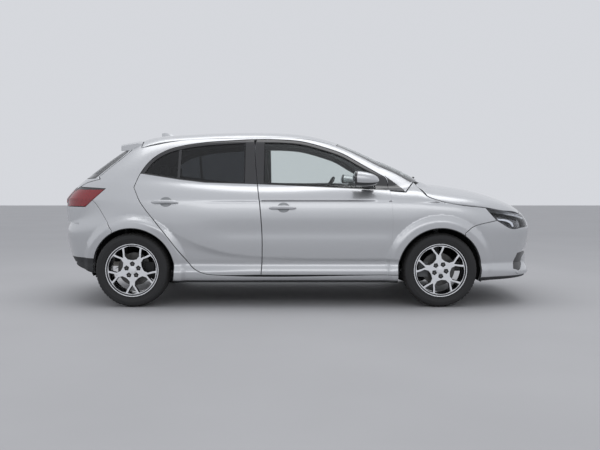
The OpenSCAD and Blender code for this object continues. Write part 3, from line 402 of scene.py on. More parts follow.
# ---- Meshes -------------------------------------------------------------------------------
def make(name, verts, faces, materials, which=None, normals=None):
    """A mesh object from millimetres."""
    mesh = bpy.data.meshes.new(name)
    mesh.from_pydata((np.asarray(verts, float) * MM).tolist(), [],
                     [list(map(int, f)) for f in faces])
    for m in materials:
        mesh.materials.append(m)
    if which is not None:
        mesh.polygons.foreach_set("material_index", np.asarray(which, np.int32))
    mesh.polygons.foreach_set("use_smooth", np.ones(len(mesh.polygons), bool))
    if normals is not None:
        mesh.normals_split_custom_set_from_vertices(np.asarray(normals, float).tolist())
    mesh.update()
    obj = bpy.data.objects.new(name, mesh)
    bpy.context.scene.collection.objects.link(obj)
    return obj


class Panel:
    """A pressed panel: its skin, its folded edges and, where wanted, its inner face.

    place lays a flat drawing on the surface, outline and holes are drawings, and each ring that
    is added carries the edges further round. zone is the material of what is added.
    """

    def __init__(self, place, outline, holes=(), gap=GAP, hem=HEM, depth=0.0, step=16.0,
                 lines=(), edge_step=12.0, fold=True):
        self.place = place
        self.facing = getattr(place, "normals", normals_at)
        self.shapes, self.signs = [outline] + list(holes), [-1.0] + [1.0] * len(holes)
        self.edge_step = edge_step
        loops = self.loops(gap + hem)
        uv, tris = fill(loops, step, lines)
        pos = place(uv, self.at(uv, depth))
        self.pos, self.nor = [pos], [self.facing(pos, self.at(uv, depth))]
        self.faces, self.zones = [tuple(t) for t in tris], [0] * len(tris)
        self.flat = [uv]
        self.count = len(uv)
        self.rings, self.hands, base = [], [], 0
        outer = self.loops(gap)
        for l, wide in zip(loops, outer):
            rim = pos[base:base + len(l)]
            off = np.cross(self.nor[0][base:base + len(l)],
                           np.roll(rim, -1, axis=0) - np.roll(rim, 1, axis=0))
            away = place(wide, self.at(wide, depth)) - rim
            self.hands.append(1.0 if np.sum(off * away) > 0 else -1.0)
            self.rings.append((base, len(l)))
            base += len(l)
        if fold:
            for lean in (30, 60, 90):
                a = math.radians(lean)
                sunk = hem * (1 - math.cos(a))
                self.ring(gap + hem * (1 - math.sin(a)), lambda uv: self.at(uv, depth, sunk), lean)

    @staticmethod
    def at(uv, depth, more=0.0):
        return (depth(uv) if callable(depth) else np.full(len(uv), float(depth))) + more

    def loops(self, shrink, bend=None):
        made = [loop(s, g * shrink, self.edge_step) for s, g in zip(self.shapes, self.signs)]
        return [bend(l) for l in made] if bend else made

    def ring(self, shrink, depth, lean=90, zone=0, bend=None):
        new = []
        loops = self.loops(shrink, bend)
        for (start, count), l, hand in zip(self.rings, loops, self.hands):
            d = self.at(l, depth)
            pos = self.place(l, d)
            skin = self.facing(pos, d)
            off = np.cross(skin, np.roll(pos, -1, axis=0) - np.roll(pos, 1, axis=0)) * hand
            off /= np.maximum(np.linalg.norm(off, axis=1), 1e-9)[:, None]
            a = math.radians(lean)
            self.pos.append(pos)
            self.flat.append(l)
            self.nor.append(skin * math.cos(a) + off * math.sin(a))
            for i in range(count):
                j = (i + 1) % count
                self.faces.append((start + i, start + j, self.count + j, self.count + i))
            self.zones += [zone] * count
            new.append((self.count, count))
            self.count += count
        self.rings = new
        return self

    def back(self, shrink, depth, zone=0, bend=None, step=30.0, lines=()):
        """The inner face, at that depth."""
        uv, tris = fill(self.loops(shrink, bend), step, lines)
        d = self.at(uv, depth)
        pos = self.place(uv, d)
        self.pos.append(pos)
        self.flat.append(uv)
        self.nor.append(-self.facing(pos, d))
        self.faces += [tuple(t + self.count) for t in tris]
        self.zones += [zone] * len(tris)
        self.count += len(uv)
        return self

    def close(self, shrink, depth, step=30.0, zone=0):
        """Takes the edges down to that depth and closes the panel there."""
        self.ring(shrink, depth)
        return self.back(shrink, depth, zone, step=step)

    def inner(self, inset, lip, thick, walls, floor, step, bend=None):
        """A lid's inner side: in behind the folded lip, down to its thickness, and across."""
        shrink = GAP + inset
        self.ring(shrink, lip, 180, walls, bend)
        self.ring(shrink, thick, 90, walls, bend)
        return self.back(shrink, thick, floor, bend, step)

    def paint(self, test, zone):
        """Gives the faces made so far another material where test(u, v) holds."""
        flat = np.vstack(self.flat)
        centres = np.array([flat[list(f)].mean(0) for f in self.faces])
        hit = test(centres[:, 0], centres[:, 1])
        for i in np.nonzero(hit)[0]:
            self.zones[i] = zone
        return self

    def build(self, name, materials, slot, body="root", flip=False, replaces=()):
        verts, normals = np.vstack(self.pos), np.vstack(self.nor)
        if flip:
            verts, normals = verts * [1, -1, 1], normals * [1, -1, 1]
        index = np.array([tuple(f) + (f[2],) * (4 - len(f)) for f in self.faces])
        a, b, c, d = (verts[index[:, k]] for k in range(4))
        turn = np.cross(b - a, c - a) + np.cross(c - a, d - a)
        away = np.einsum("ij,ij->i", turn, normals[index[:, :3]].sum(1)) < 0
        faces = [f[::-1] if back else f for f, back in zip(self.faces, away)]
        return fit(make(name, verts, faces, materials, self.zones, normals), body, replaces)


def patch(name, place, outline, mat, depth, reach, slot, body="root", flip=False, hem=2, step=12,
          edge_step=12):
    """A fitting on the surface: it has no shut line, and its edges run down to reach."""
    p = Panel(place, outline, gap=0, hem=hem, depth=depth, step=step, edge_step=edge_step)
    p.ring(0, reach).build(name, [mat], slot, body, flip)


def fit(obj, body, replaces=()):
    """Rides on a body, and hides the CAD nodes that the piece stands for."""
    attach(obj, body)
    if replaces:
        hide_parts(*([replaces] if isinstance(replaces, str) else replaces))
    return obj


def both(build):
    """Calls build with each side's name, and with whether it is the mirrored one."""
    build("left", False)
    build("right", True)


# ---- Shapes -------------------------------------------------------------------------------
def hose(name, centre, radius, mat, body="root", flip=False, closed=False,
         sides=10):
    """A round bead along a path of points."""
    c = np.asarray(centre, float)
    n = len(c)
    ahead = np.roll(c, -1, axis=0) - np.roll(c, 1, axis=0)
    if not closed:
        ahead[0], ahead[-1] = c[1] - c[0], c[-1] - c[-2]
    ahead /= np.linalg.norm(ahead, axis=1)[:, None]
    side = np.cross(ahead, [0.13, 0.21, 0.97])
    side /= np.linalg.norm(side, axis=1)[:, None]
    up = np.cross(side, ahead)
    radii = np.broadcast_to(np.asarray(radius, float), (n,))
    verts = []
    for k in range(sides):
        a = 2 * math.pi * k / sides
        verts.append(c + radii[:, None] * (side * math.cos(a) + up * math.sin(a)))
    verts = np.stack(verts, axis=1).reshape(-1, 3)
    if flip:
        verts = verts * [1, -1, 1]
    faces = []
    for i in range(n if closed else n - 1):
        j = (i + 1) % n
        for k in range(sides):
            m = (k + 1) % sides
            q = (i * sides + k, i * sides + m, j * sides + m, j * sides + k)
            faces.append(q if flip else q[::-1])
    if not closed:
        faces.append(tuple(range(sides)) if not flip else tuple(range(sides))[::-1])
        end = tuple((n - 1) * sides + k for k in range(sides))
        faces.append(end[::-1] if not flip else end)
    return fit(make(name, verts, faces, [mat]), body, ())


def around(count):
    """Even angles round a circle."""
    return [2 * math.pi * k / count for k in range(count)]


def square_off(c, power):
    """A sine or cosine made squarer, for rounded boxes."""
    return math.copysign(abs(c) ** power, c)


def turned_out(obj, sharp, weld=False):
    """Faces the skin outward and keeps its edges sharp past that angle."""
    bm = bmesh.new()
    bm.from_mesh(obj.data)
    if weld:
        bmesh.ops.remove_doubles(bm, verts=bm.verts, dist=1e-6)
    bmesh.ops.recalc_face_normals(bm, faces=bm.faces)
    bm.to_mesh(obj.data)
    bm.free()
    obj.data.set_sharp_from_angle(angle=sharp)
    return obj


def shell(name, rows, mats, body="root", flip=False, closed=True, caps=True,
          which=None, angle=0.7, replaces=()):
    """A skin over rows of points, each row a closed ring when closed."""
    rows = [np.asarray(r, float) for r in rows]
    n = len(rows[0])
    verts = np.vstack(rows)
    faces, zones = [], []
    for i in range(len(rows) - 1):
        for k in range(n if closed else n - 1):
            m = (k + 1) % n
            faces.append((i * n + k, i * n + m, (i + 1) * n + m, (i + 1) * n + k))
            zones.append(which(i, k) if which else 0)
    if caps:
        faces.append(tuple(range(n))[::-1])
        faces.append(tuple((len(rows) - 1) * n + k for k in range(n)))
        zones += [which(0, 0) if which else 0, which(len(rows) - 2, 0) if which else 0]
    if flip:
        verts = verts * [1, -1, 1]
    obj = turned_out(make(name, verts, faces, mats, zones), angle)
    return fit(obj, body, replaces)


def soft_box(name, low, high, radius, mat, body="root", tilt=0.0):
    """A box with rounded edges, for housings and blocks, leaning by tilt degrees about Y."""
    (x0, y0, z0), (x1, y1, z1) = low, high
    bm = bmesh.new()
    bmesh.ops.create_cube(bm, size=1.0)
    size = Vector((x1 - x0, y1 - y0, z1 - z0))
    middle = Vector(((x0 + x1) / 2, (y0 + y1) / 2, (z0 + z1) / 2))
    for v in bm.verts:
        v.co = Vector((v.co.x * size.x, v.co.y * size.y, v.co.z * size.z))
    bmesh.ops.bevel(bm, geom=list(bm.edges), offset=radius, segments=3, profile=0.5,
                    affect="EDGES")
    turn = Matrix.Rotation(math.radians(tilt), 4, "Y")
    for v in bm.verts:
        v.co = (turn @ v.co) + middle
    mesh = bpy.data.meshes.new(name)
    bm.to_mesh(mesh)
    bm.free()
    mesh.transform(Matrix.Scale(MM, 4))
    mesh.materials.append(mat)
    mesh.polygons.foreach_set("use_smooth", np.ones(len(mesh.polygons), bool))
    obj = bpy.data.objects.new(name, mesh)
    bpy.context.scene.collection.objects.link(obj)
    mesh.set_sharp_from_angle(angle=0.6)
    return fit(obj, body, ())


def revolve(name, profile, centre, outward, mats, body="root", count=72,
            which=None, shape=None, replaces=()):
    """A profile of (radius, outward) points turned round an axis along Y."""
    rows = []
    for i in range(count):
        a = 2 * math.pi * i / count
        row = []
        for k, (r, t) in enumerate(profile):
            if shape:
                r, t = shape(i, k, r, t)
            row.append([centre[0] + r * math.cos(a), centre[1] + outward * t,
                        centre[2] + r * math.sin(a)])
        rows.append(row)
    rows.append(rows[0])
    verts = np.vstack(rows[:-1])
    n = len(profile)
    faces, zones = [], []
    for i in range(count):
        j = (i + 1) % count
        for k in range(n - 1):
            q = (i * n + k, i * n + k + 1, j * n + k + 1, j * n + k)
            faces.append(q if outward > 0 else q[::-1])
            zones.append(which(i, k) if which else 0)
    obj = turned_out(make(name, verts, faces, mats, zones), 0.6, weld=True)
    return fit(obj, body, replaces)


# ---- Materials ----------------------------------------------------------------------------
def material(name, color, rough=0.5, metal=0.0, **sockets):
    m = bpy.data.materials.new(name)
    m.use_nodes = True
    shader = m.node_tree.nodes["Principled BSDF"]
    shader.inputs["Base Color"].default_value = (*color, 1)
    shader.inputs["Roughness"].default_value = rough
    shader.inputs["Metallic"].default_value = metal
    for key, value in sockets.items():
        shader.inputs[key.replace("_", " ")].default_value = value
    return m


def node(m, kind, links=(), **values):
    """A shader node with its settings and linked inputs."""
    n = m.node_tree.nodes.new(kind)
    for key, value in values.items():
        if hasattr(n, key):
            setattr(n, key, value)
        else:
            n.inputs[key.replace("_", " ")].default_value = value
    for socket, source in dict(links).items():
        m.node_tree.links.new(source, n.inputs[socket])
    return n


def object_point(m):
    return node(m, "ShaderNodeTexCoord").outputs["Object"]


def grain(m, scale, strength, distance=0.0004, kind="ShaderNodeTexNoise", detail=4.0):
    """A fine bump over the whole surface."""
    shader = m.node_tree.nodes["Principled BSDF"]
    settings = {"Scale": scale}
    if kind == "ShaderNodeTexNoise":
        settings["Detail"] = detail
    tex = node(m, kind, {"Vector": object_point(m)}, **settings)
    out = tex.outputs["Fac"] if "Fac" in tex.outputs else tex.outputs["Distance"]
    bump = node(m, "ShaderNodeBump", {"Height": out}, Strength=strength, Distance=distance)
    m.node_tree.links.new(bump.outputs["Normal"], shader.inputs["Normal"])
    return m


def vary(m, low, high, scale, socket="Base Color", detail=3.0, contrast=(0.35, 0.65)):
    """Lets a colour or the roughness wander between two values over the surface."""
    shader = m.node_tree.nodes["Principled BSDF"]
    tex = node(m, "ShaderNodeTexNoise", {"Vector": object_point(m)}, Scale=scale, Detail=detail)
    ramp = node(m, "ShaderNodeValToRGB", {"Fac": tex.outputs["Fac"]})
    ramp.color_ramp.elements[0].position, ramp.color_ramp.elements[1].position = contrast
    wide = lambda v: (*v, 1) if hasattr(v, "__len__") else (v, v, v, 1)
    ramp.color_ramp.elements[0].color, ramp.color_ramp.elements[1].color = wide(low), wide(high)
    m.node_tree.links.new(ramp.outputs["Color"], shader.inputs[socket])
    return m


paint = material("silver_paint", (0.60, 0.61, 0.625), 0.32, 0.72, Coat_Weight=1.0,
                 Coat_Roughness=0.04, Coat_IOR=1.5)
vary(paint, (0.585, 0.595, 0.61), (0.63, 0.64, 0.655), 900, detail=1.0)
inner_paint = material("inner_paint", (0.46, 0.47, 0.48), 0.45, 0.6)
vary(inner_paint, (0.44, 0.45, 0.46), (0.49, 0.50, 0.51), 14)
gloss_black = material("gloss_black", (0.012, 0.012, 0.014), 0.12, Coat_Weight=1.0,
                       Coat_Roughness=0.03)
vary(gloss_black, 0.10, 0.17, 30, "Roughness")
plastic = material("grained_plastic", (0.028, 0.029, 0.031), 0.6)
grain(plastic, 900, 0.35, 0.0003, "ShaderNodeTexVoronoi")
rubber = material("seal_rubber", (0.015, 0.015, 0.016), 0.75)
grain(rubber, 300, 0.3)
cabin = material("cabin_plastic", (0.040, 0.041, 0.045), 0.62)
grain(cabin, 1100, 0.4, 0.0003, "ShaderNodeTexVoronoi")
chrome = material("satin_chrome", (0.75, 0.76, 0.77), 0.16, 1.0)
vary(chrome, 0.12, 0.22, 60, "Roughness")

# ---- Body panels --------------------------------------------------------------------------
CENTRE_LINE = [[-375, 1412], [-341, 1026], [-316, 850], [-298, 595], [-299, 420], [-308, 270]]
FRONT_EDGE = [[744, 270], [774, 524], [781, 730], [774, 850], [763, 966], [752, 1056],
              [740, 1080], [681, 1117], [533, 1202], [382, 1288], [229, 1342], [29, 1394],
              [-157, 1410]]
FRONT_DOOR = [[-358, 1412], [-367, 1350]] + CENTRE_LINE[1:] + FRONT_EDGE
REAR_EDGE = [[-602, 1400], [-800, 1385], [-995, 1355], [-1126, 1316], [-1250, 1236],
             [-1336, 1117], [-1379, 1001], [-1312, 873], [-1106, 621], [-954, 419],
             [-879, 330], [-777, 280], [-700, 270]]
REAR_DOOR = CENTRE_LINE[::-1] + REAR_EDGE
BELT = [[-1336, 1117], [-1001, 1065], [-781, 1039], [-341, 1026], [-152, 1018], [449, 988],
        [750, 974], [900, 961]]
DOOR_THICK, FRAME_THICK, FRAME_WIDE = 105.0, 38.0, 30.0
GLASS_IN, GLASS_THICK = 7.0, 5.0


def belt_at(x):
    return np.interp(x, [p[0] for p in BELT], [p[1] for p in BELT])


def belt_line(x0, x1, lift=0.0, step=15.0):
    xs = np.linspace(x0, x1, int(abs(x1 - x0) / step))
    return [[x, belt_at(x) + lift] for x in xs]


front_window = grown(FRONT_DOOR, -FRAME_WIDE)
front_window = clip(clip(front_window, 1, 0, -285), -1, 0, -645)
front_window = above_line(front_window, [-341, 1038], [750, 986])
rear_window = grown(REAR_DOOR, -FRAME_WIDE)
rear_window = clip(clip(rear_window, 1, 0, -1300), -1, 0, 450)
for k in range(3):
    rear_window = above_line(rear_window, [BELT[k][0], BELT[k][1] + 12],
                             [BELT[k + 1][0], BELT[k + 1][1] + 12])


def inner_depth(uv):
    """A door's depth: thick below the belt and a thin frame above it."""
    return FRAME_THICK + (DOOR_THICK - FRAME_THICK) * ease((belt_at(uv[:, 0]) - 12 - uv[:, 1]) / 14)


def pull_back(outline):
    """Keeps the inner part of a door clear of what it swings past at its front edge."""
    edge = np.array(outline, float)

    def bend(uv):
        out = uv.copy()
        for i, (x, z) in enumerate(uv):
            a, b = edge, np.roll(edge, -1, axis=0)
            hit = (a[:, 1] > z) != (b[:, 1] > z)
            if hit.any():
                t = (z - a[hit, 1]) / (b[hit, 1] - a[hit, 1])
                front = np.max(a[hit, 0] + t * (b[hit, 0] - a[hit, 0]))
                out[i, 0] = x - 20 * float(ease((x - front + 130) / 110))
        return out

    return bend


def creases(outline, holes=()):
    """The pressed rings round the wheel arches and the scallop's edge, where they cross a panel."""
    loops = [loop(outline, -12)] + [loop(h, 12) for h in holes]
    edge = np.linspace(-950, 860, 130)
    lines = [np.array(arc(axle, AXLE_HEIGHT, ARCH_CREASE, 0, 180, 110))
             for axle in (FRONT_AXLE, REAR_AXLE)]
    lines += [np.stack([edge, scallop_height(edge) - lower], axis=1) for lower in (0, 9)]
    runs = []
    for line in lines:
        runs.append([])
        for point, within in zip(line.tolist(), inside(loops, line)):
            if within:
                runs[-1].append(point)
            elif runs[-1]:
                runs.append([])
    return [run for run in runs if len(run) > 1]


def door(which, outline, window, side, flip):
    """A door's skin with its black window frame, its folded edges and its inner panel."""
    body = which + "_door_" + side
    x0, x1 = min(p[0] for p in outline) + 30, max(p[0] for p in outline) - 24
    cut = within(belt_line(x0, x1), outline, -9 - GAP - HEM)
    p = Panel(from_side, outline, [window], step=15, lines=[cut] + creases(outline))
    p.signs[1] = 0.0
    p.ring(GAP, 12)
    p.paint(lambda u, v: v > belt_at(u), 1)
    p.inner(14, 12, inner_depth, 2, 3, 24, pull_back(outline))
    p.build(which + "_door_skin_" + side, [paint, gloss_black, inner_paint, cabin], "body_paint",
            body, flip, body)


def window_pane(which, window, side, flip, glass, slot):
    p = Panel(from_side, window, gap=0.5, hem=0.6, depth=GLASS_IN, step=32)
    p.close(0.5, GLASS_IN + GLASS_THICK, 32)
    p.build(which + "_window_" + side, [glass], slot, which + "_door_" + side, flip,
            which + "_door_glass_" + side)


clear_glass = material("clear_glass", (0.86, 0.90, 0.89), 0.0, Transmission_Weight=1.0, IOR=1.45)
vary(clear_glass, 0.0, 0.02, 8, "Roughness")
dark_glass = material("privacy_glass", (0.16, 0.17, 0.18), 0.02, Transmission_Weight=1.0, IOR=1.45)
vary(dark_glass, 0.0, 0.03, 8, "Roughness")


def doors(side, flip):
    door("front", FRONT_DOOR, front_window, side, flip)
    door("rear", REAR_DOOR, rear_window, side, flip)
    window_pane("front", front_window, side, flip, clear_glass, "clear_glass")
    window_pane("rear", rear_window, side, flip, dark_glass, "dark_glass")


both(doors)

# The fixed side: sill, pillars, roof rail and rear quarter
ROOF_EDGE = [[330, 545], [0, 561], [-300, 572], [-650, 576], [-1000, 575], [-1353, 560]]
rail = [[x, top_z(x, y)] for x, y in [[960, 640], [830, 622], [700, 605], [515, 575]] + ROOF_EDGE]
HATCH_SIDE = [[-1392, 1393], [-1477, 1290], [-1600, 1182], [-1705, 1090]]
lamp_shoulder = [[end_x(660, 1070, -1), 1070], [end_x(600, 1030, -1), 1030],
                 [end_x(590, 1004, -1), 1004]]
SIDE_OUTLINE = (
    [[835, 205], [835, 270], [744, 270], [744, 976], [763, 975], [900, 964], [990, 1049]] + rail
    + HATCH_SIDE + lamp_shoulder
    + [[-1628, 990], [-1741, 892], [-1710, 865], [-1641, 770], [-1552, 644]]
    + arc(REAR_AXLE, AXLE_HEIGHT, ARCH, 118.6, -17.4, 26))
OPENING = [[744, 270]] + FRONT_EDGE[1:] + [[-375, 1412]] + REAR_EDGE
FLAP_AT, FLAP = (-1530.0, 848.0), 148.0
SILL_LIP = 224


def rounded_square(cx, cz, size, radius):
    h = size / 2 - radius
    out = []
    for k, (sx, sz) in enumerate(((1, 1), (-1, 1), (-1, -1), (1, -1))):
        out += arc(cx + sx * h, cz + sz * h, radius, k * 90, k * 90 + 90, 4)
    return out


def side_shell(side, flip):
    holes = [OPENING]
    if not flip:
        holes.append(rounded_square(*FLAP_AT, FLAP, 24))
    p = Panel(from_side, SIDE_OUTLINE, holes, gap=1.5, hem=2.5, step=15,
              lines=[[[x, SILL_LIP] for x in range(-1020, 831, 15)]] + creases(SIDE_OUTLINE, holes))
    p.paint(lambda u, v: v < SILL_LIP, 1)
    p.ring(1.5, 22)
    return p.build("side_skin_" + side, [paint, plastic], "body_paint", flip=flip,
                   replaces=["side_frames"] if not flip else ())


both(side_shell)


# Outlines on the plan view are (x, y); on a wrapped drawing they are (arc, height).
def mirrored_plan(points):
    return points + [[p[0], -p[1]] for p in points[::-1] if abs(p[1]) > 1e-6]


SCREEN_TOP = [[372, 0], [368, 250], [352, 430], [330, 545]]
roof_outline = mirrored_plan(SCREEN_TOP + ROOF_EDGE + [[-1353, 0]])
p = Panel(from_above, roof_outline, gap=1.5, hem=2.5, step=26)
p.close(1.5, 20, 60, 1)
headliner = material("headliner", (0.42, 0.41, 0.39), 0.9)
grain(headliner, 700, 0.3)
p.build("roof_skin", [paint, headliner], "body_paint", replaces="roof_panel")

screen_outline = mirrored_plan(SCREEN_TOP + [[700, 605], [960, 640], [1012, 600],
                               [1048, 400], [1066, 0]])


def bonded_glass(name, place, outline, edge, gap, step, glass, body, replaces, slot):
    """A glued pane with a black printed edge of that width."""
    frit = loop(outline, -edge, 20)
    p = Panel(place, outline, gap=gap, hem=0.8, depth=2, step=step,
              lines=[frit.tolist() + [frit[0].tolist()]])
    p.paint(lambda u, v: ~inside([frit], np.stack([u, v], axis=-1)), 1)
    p.close(gap, 7, 40)
    p.build(name, [glass, gloss_black], slot, body, replaces=replaces)


bonded_glass("windscreen_glass", from_above, screen_outline, 42, 2, 30, clear_glass, "root",
             "windscreen", "clear_glass")

BONNET_SIDE = [[1077, 928], [1130, 905], [1199, 884], [1347, 854], [1572, 830], [1740, 801],
               [1909, 770], [1935, 790]]
bonnet_half = ([[1104, 0], [1092, 300], [1062, 520], [1004, 650]]
               + [[x, side_y(x, z)] for x, z in [[1012, 1016]] + BONNET_SIDE]
               + [[end_x(y, 793, 1), y] for y in (500, 380, 200, 0)])
p = Panel(from_above, mirrored_plan(bonnet_half), step=20, edge_step=14)
p.ring(GAP, 16)
p.inner(20, 16, 26, 1, 1, 45)
p.build("bonnet_skin", [paint, inner_paint], "body_paint", "bonnet", replaces="bonnet")

scuttle_half = [[1064, 0], [1046, 400], [1010, 600], [960, 642], [962, 658], [1040, 656],
                [1175, 560], [1175, 0]]
p = Panel(from_above, mirrored_plan(scuttle_half), gap=0, hem=2, depth=32, step=24)
p.ring(0, 50)
p.build("scuttle_tray", [plastic], "black_plastic", replaces="scuttle_panel")

FENDER = ([[744, 270], [774, 524], [781, 730], [774, 850], [763, 972], [900, 961], [990, 1046],
           [996, 1040]] + BONNET_SIDE[:5]
          + [[1668, 722], [1455, 668], [1391, 621]]
          + arc(FRONT_AXLE, AXLE_HEIGHT, ARCH, 54.5, 186.5, 26))


def fender(side, flip):
    p = Panel(from_side, FENDER, step=15, lines=creases(FENDER))
    p.ring(GAP, 9)
    p.build("fender_skin_" + side, [paint], "body_paint", flip=flip,
            replaces="front_fenders" if not flip else ())


both(fender)


def arcs_side(points, axis, facing):
    return [arc_of_side(x, z, axis, facing) for x, z in points]


def arcs_end(points, axis, facing):
    return [arc_of_end(y, z, axis, facing) for y, z in points]


# Front bumper, wrapped round the nose
front_half = (arcs_side(arc(FRONT_AXLE, AXLE_HEIGHT, ARCH, -16, 54.5, 14), NOSE_AXIS, 1)
              + arcs_side([[1391, 621], [1455, 668], [1668, 722], [1813, 650], [1920, 657],
                           [2010, 666], [1985, 742], [1909, 770], [1935, 790]], NOSE_AXIS, 1)
              + [[300, 793], [0, 794]])
front_outline = mirrored([[0, 238], [200, 236], [400, 231], [600, 224], [800, 217]] + front_half)
intake = arcs_end([[560, 302], [622, 362], [600, 468]], NOSE_AXIS, 1)
lower_intake = mirrored([[0, 300]] + intake + [[0, 500]])
slot_half = arcs_end([[470, 642], [500, 700]], NOSE_AXIS, 1)
upper_slot = mirrored([[0, 624]] + slot_half + [[0, 728]])
FRONT_LIP = 248
p = Panel(on_nose, front_outline, [lower_intake, upper_slot], gap=1.5, hem=3, step=17,
          lines=[[[u, FRONT_LIP] for u in range(-1010, 1011, 14)]])
p.paint(lambda u, v: v < FRONT_LIP, 1)
p.ring(1.5, 26)
p.build("front_bumper_skin", [paint, plastic], "body_paint", replaces="front_bumper")


def bars(name, outline, low, high, pitch, tall, replaces=()):
    """Level slats across an opening, each cut to the opening's width."""
    verts, faces, depth, thick = [], [], 12, 14
    shape = loop(outline, 6)
    for z in np.arange(low, high, pitch):
        xs = np.linspace(shape[:, 0].min(), shape[:, 0].max(), 120)
        keep = xs[inside([shape], np.stack([xs, np.full(120, z)], axis=1))]
        if len(keep) < 4:
            continue
        ring = []
        for dz, d in ((-tall / 2, depth + 3), (0, depth), (tall / 2, depth + 3),
                      (tall / 2, depth + thick), (-tall / 2, depth + thick)):
            uv = np.stack([keep, np.full(len(keep), z + dz)], axis=1)
            ring.append(on_nose(uv, np.full(len(keep), float(d))))
        base, n = len(verts), len(keep)
        for r in ring:
            verts += r.tolist()
        for k in range(5):
            a, b = base + k * n, base + (k + 1) % 5 * n
            faces += [(a + i, a + i + 1, b + i + 1, b + i) for i in range(n - 1)]
        faces += [tuple(base + k * n for k in range(5)),
                  tuple(base + k * n + n - 1 for k in range(4, -1, -1))]
    obj = make(name, verts, faces, [gloss_black])
    obj.data.set_sharp_from_angle(angle=0.6)
    fit(obj, "root", replaces)


bars("intake_slats", lower_intake, 316, 494, 25, 8, "front_grille")
bars("slot_slats", upper_slot, 640, 720, 20, 7)
for label, shape in (("intake", lower_intake), ("slot", upper_slot)):
    patch(label + "_backing", on_nose, grown(shape, 12), plastic, 34, 40, "black_plastic", hem=1,
          step=40)

# Corner vents with a fin in front
VENT = [[1838, 306], [1846, 372], [1880, 440], [1960, 452], [1990, 400], [1976, 306], [1905, 288]]
FIN = [[1935, 398], [1964, 426], [1996, 372], [2024, 300], [2030, 262], [1965, 250], [1880, 258],
       [1862, 274], [1905, 300], [1925, 345]]


def vents(side, flip):
    patch("corner_vent_" + side, on_nose, arcs_side(VENT, NOSE_AXIS, 1), gloss_black, -1.2, 4,
          "gloss_black", flip=flip, step=14)
    patch("vent_fin_" + side, on_nose, arcs_side(FIN, NOSE_AXIS, 1), paint, -9, 2, "body_paint",
          flip=flip, hem=4)


both(vents)

# Rear bumper, wrapped round the tail
rear_half = (arcs_side(arc(REAR_AXLE, AXLE_HEIGHT, ARCH, 186.2, 118.6, 14), TAIL_AXIS, -1)
             + arcs_side([[-1552, 644], [-1641, 770], [-1710, 865], [-1741, 892], [-1808, 836]],
                         TAIL_AXIS, -1)
             + arcs_end([[550, 836], [522, 745]], TAIL_AXIS, -1) + [[0, 742]])
rear_low = ([[0, 358]] + arcs_end([[300, 357], [560, 350]], TAIL_AXIS, -1)
            + arcs_side([[-1950, 328], [-1850, 300]], TAIL_AXIS, -1))
rear_outline = mirrored(rear_low + rear_half)
REAR_LIP = 402
split = within([[u, REAR_LIP] for u in range(-1190, 1191, 14)], rear_outline, -6)
p = Panel(on_tail, rear_outline, gap=1.5, hem=3, step=17, lines=[split])
p.paint(lambda u, v: v < REAR_LIP, 1)
p.ring(1.5, 26)
p.build("rear_bumper_skin", [paint, plastic], "body_paint", replaces="rear_bumper")

# Tailgate, wrapped round an axis inside the cabin
HATCH = arcs_end([[520, 742], [545, 830], [560, 950], [600, 1030], [660, 1068]], HATCH_AXIS, -1)
hatch_half = ([[0, 742]] + HATCH
              + arcs_side([[-1707, 1090], [-1600, 1184], [-1477, 1292], [-1402, 1382]],
                          HATCH_AXIS, -1) + [[0, 1400]])
glass_half = ([[0, 1064]] + arcs_side([[-1742, 1080], [-1625, 1180], [-1508, 1282],
                                       [-1432, 1362]], HATCH_AXIS, -1) + [[0, 1380]])
p = Panel(on_hatch, mirrored(hatch_half), [mirrored(glass_half)], gap=GAP, hem=3, step=17)
p.signs[1] = 0.4
p.ring(GAP, 16)
p.inner(18, 16, 45, 1, 2, 40)
p.build("tailgate_skin", [paint, inner_paint, cabin], "body_paint", "tailgate", replaces="tailgate")
bonded_glass("tailgate_window", on_hatch, mirrored(glass_half), 34, 1, 28, dark_glass, "tailgate",
             "tailgate_glass", "dark_glass")


# Roof spoiler: carries the roof's line on over the rear window
def spoiler():
    root, tip, sweep, half = -1357.0, -1603.0, 58.0, 512.0
    rows, cols = 26, 60
    wide = cols + 1
    grid = []
    for side in (0, 1):
        for i in range(rows + 1):
            t = i / rows
            for j in range(wide):
                w = 2 * j / cols - 1
                x = root + (tip + sweep * w * w - root) * t
                y = half * w * (1 - 0.03 * t)
                edge_room = 7 * ease((x + 1402) / 30)
                top = (roof(x) - 13 - edge_room - 48 * (abs(y) / 600) ** 2.2
                       - 9 * max(abs(w) - 0.93, 0) / 0.07)
                lip = 3.0 * ease((t - 0.93) / 0.07)
                thick = 10 + 34 * (1 - t) ** 1.5 + 36 * abs(w) ** 14 * ease(t / 0.4)
                z = top - lip if side == 0 else top - thick + lip
                grid.append([x, y, z])
    n = (rows + 1) * wide
    faces = []
    for i in range(rows):
        for j in range(cols):
            a = i * wide + j
            q = (a, a + wide, a + wide + 1, a + 1)
            faces += [q, tuple(n + k for k in q[::-1])]
    edge = ([i * wide for i in range(rows + 1)] + [rows * wide + j for j in range(1, wide)]
            + [i * wide + cols for i in range(rows - 1, -1, -1)] + list(range(cols - 1, 0, -1)))
    for a, b in zip(edge, edge[1:] + edge[:1]):
        faces.append((a, n + a, n + b, b))
    obj = make("roof_spoiler", grid, faces, [paint])
    obj.data.set_sharp_from_angle(angle=0.7)
    bevel = obj.modifiers.new("edge", "BEVEL")
    bevel.width, bevel.segments, bevel.limit_method, bevel.angle_limit = 0.0025, 2, "ANGLE", 0.7
    return fit(obj, "tailgate", ())


spoiler()

# Fuel flap
p = Panel(from_side, rounded_square(*FLAP_AT, FLAP, 24), step=16)
p.close(GAP, 8)
p.build("fuel_flap_skin", [paint], "body_paint", "fuel_flap", replaces="fuel_flap")

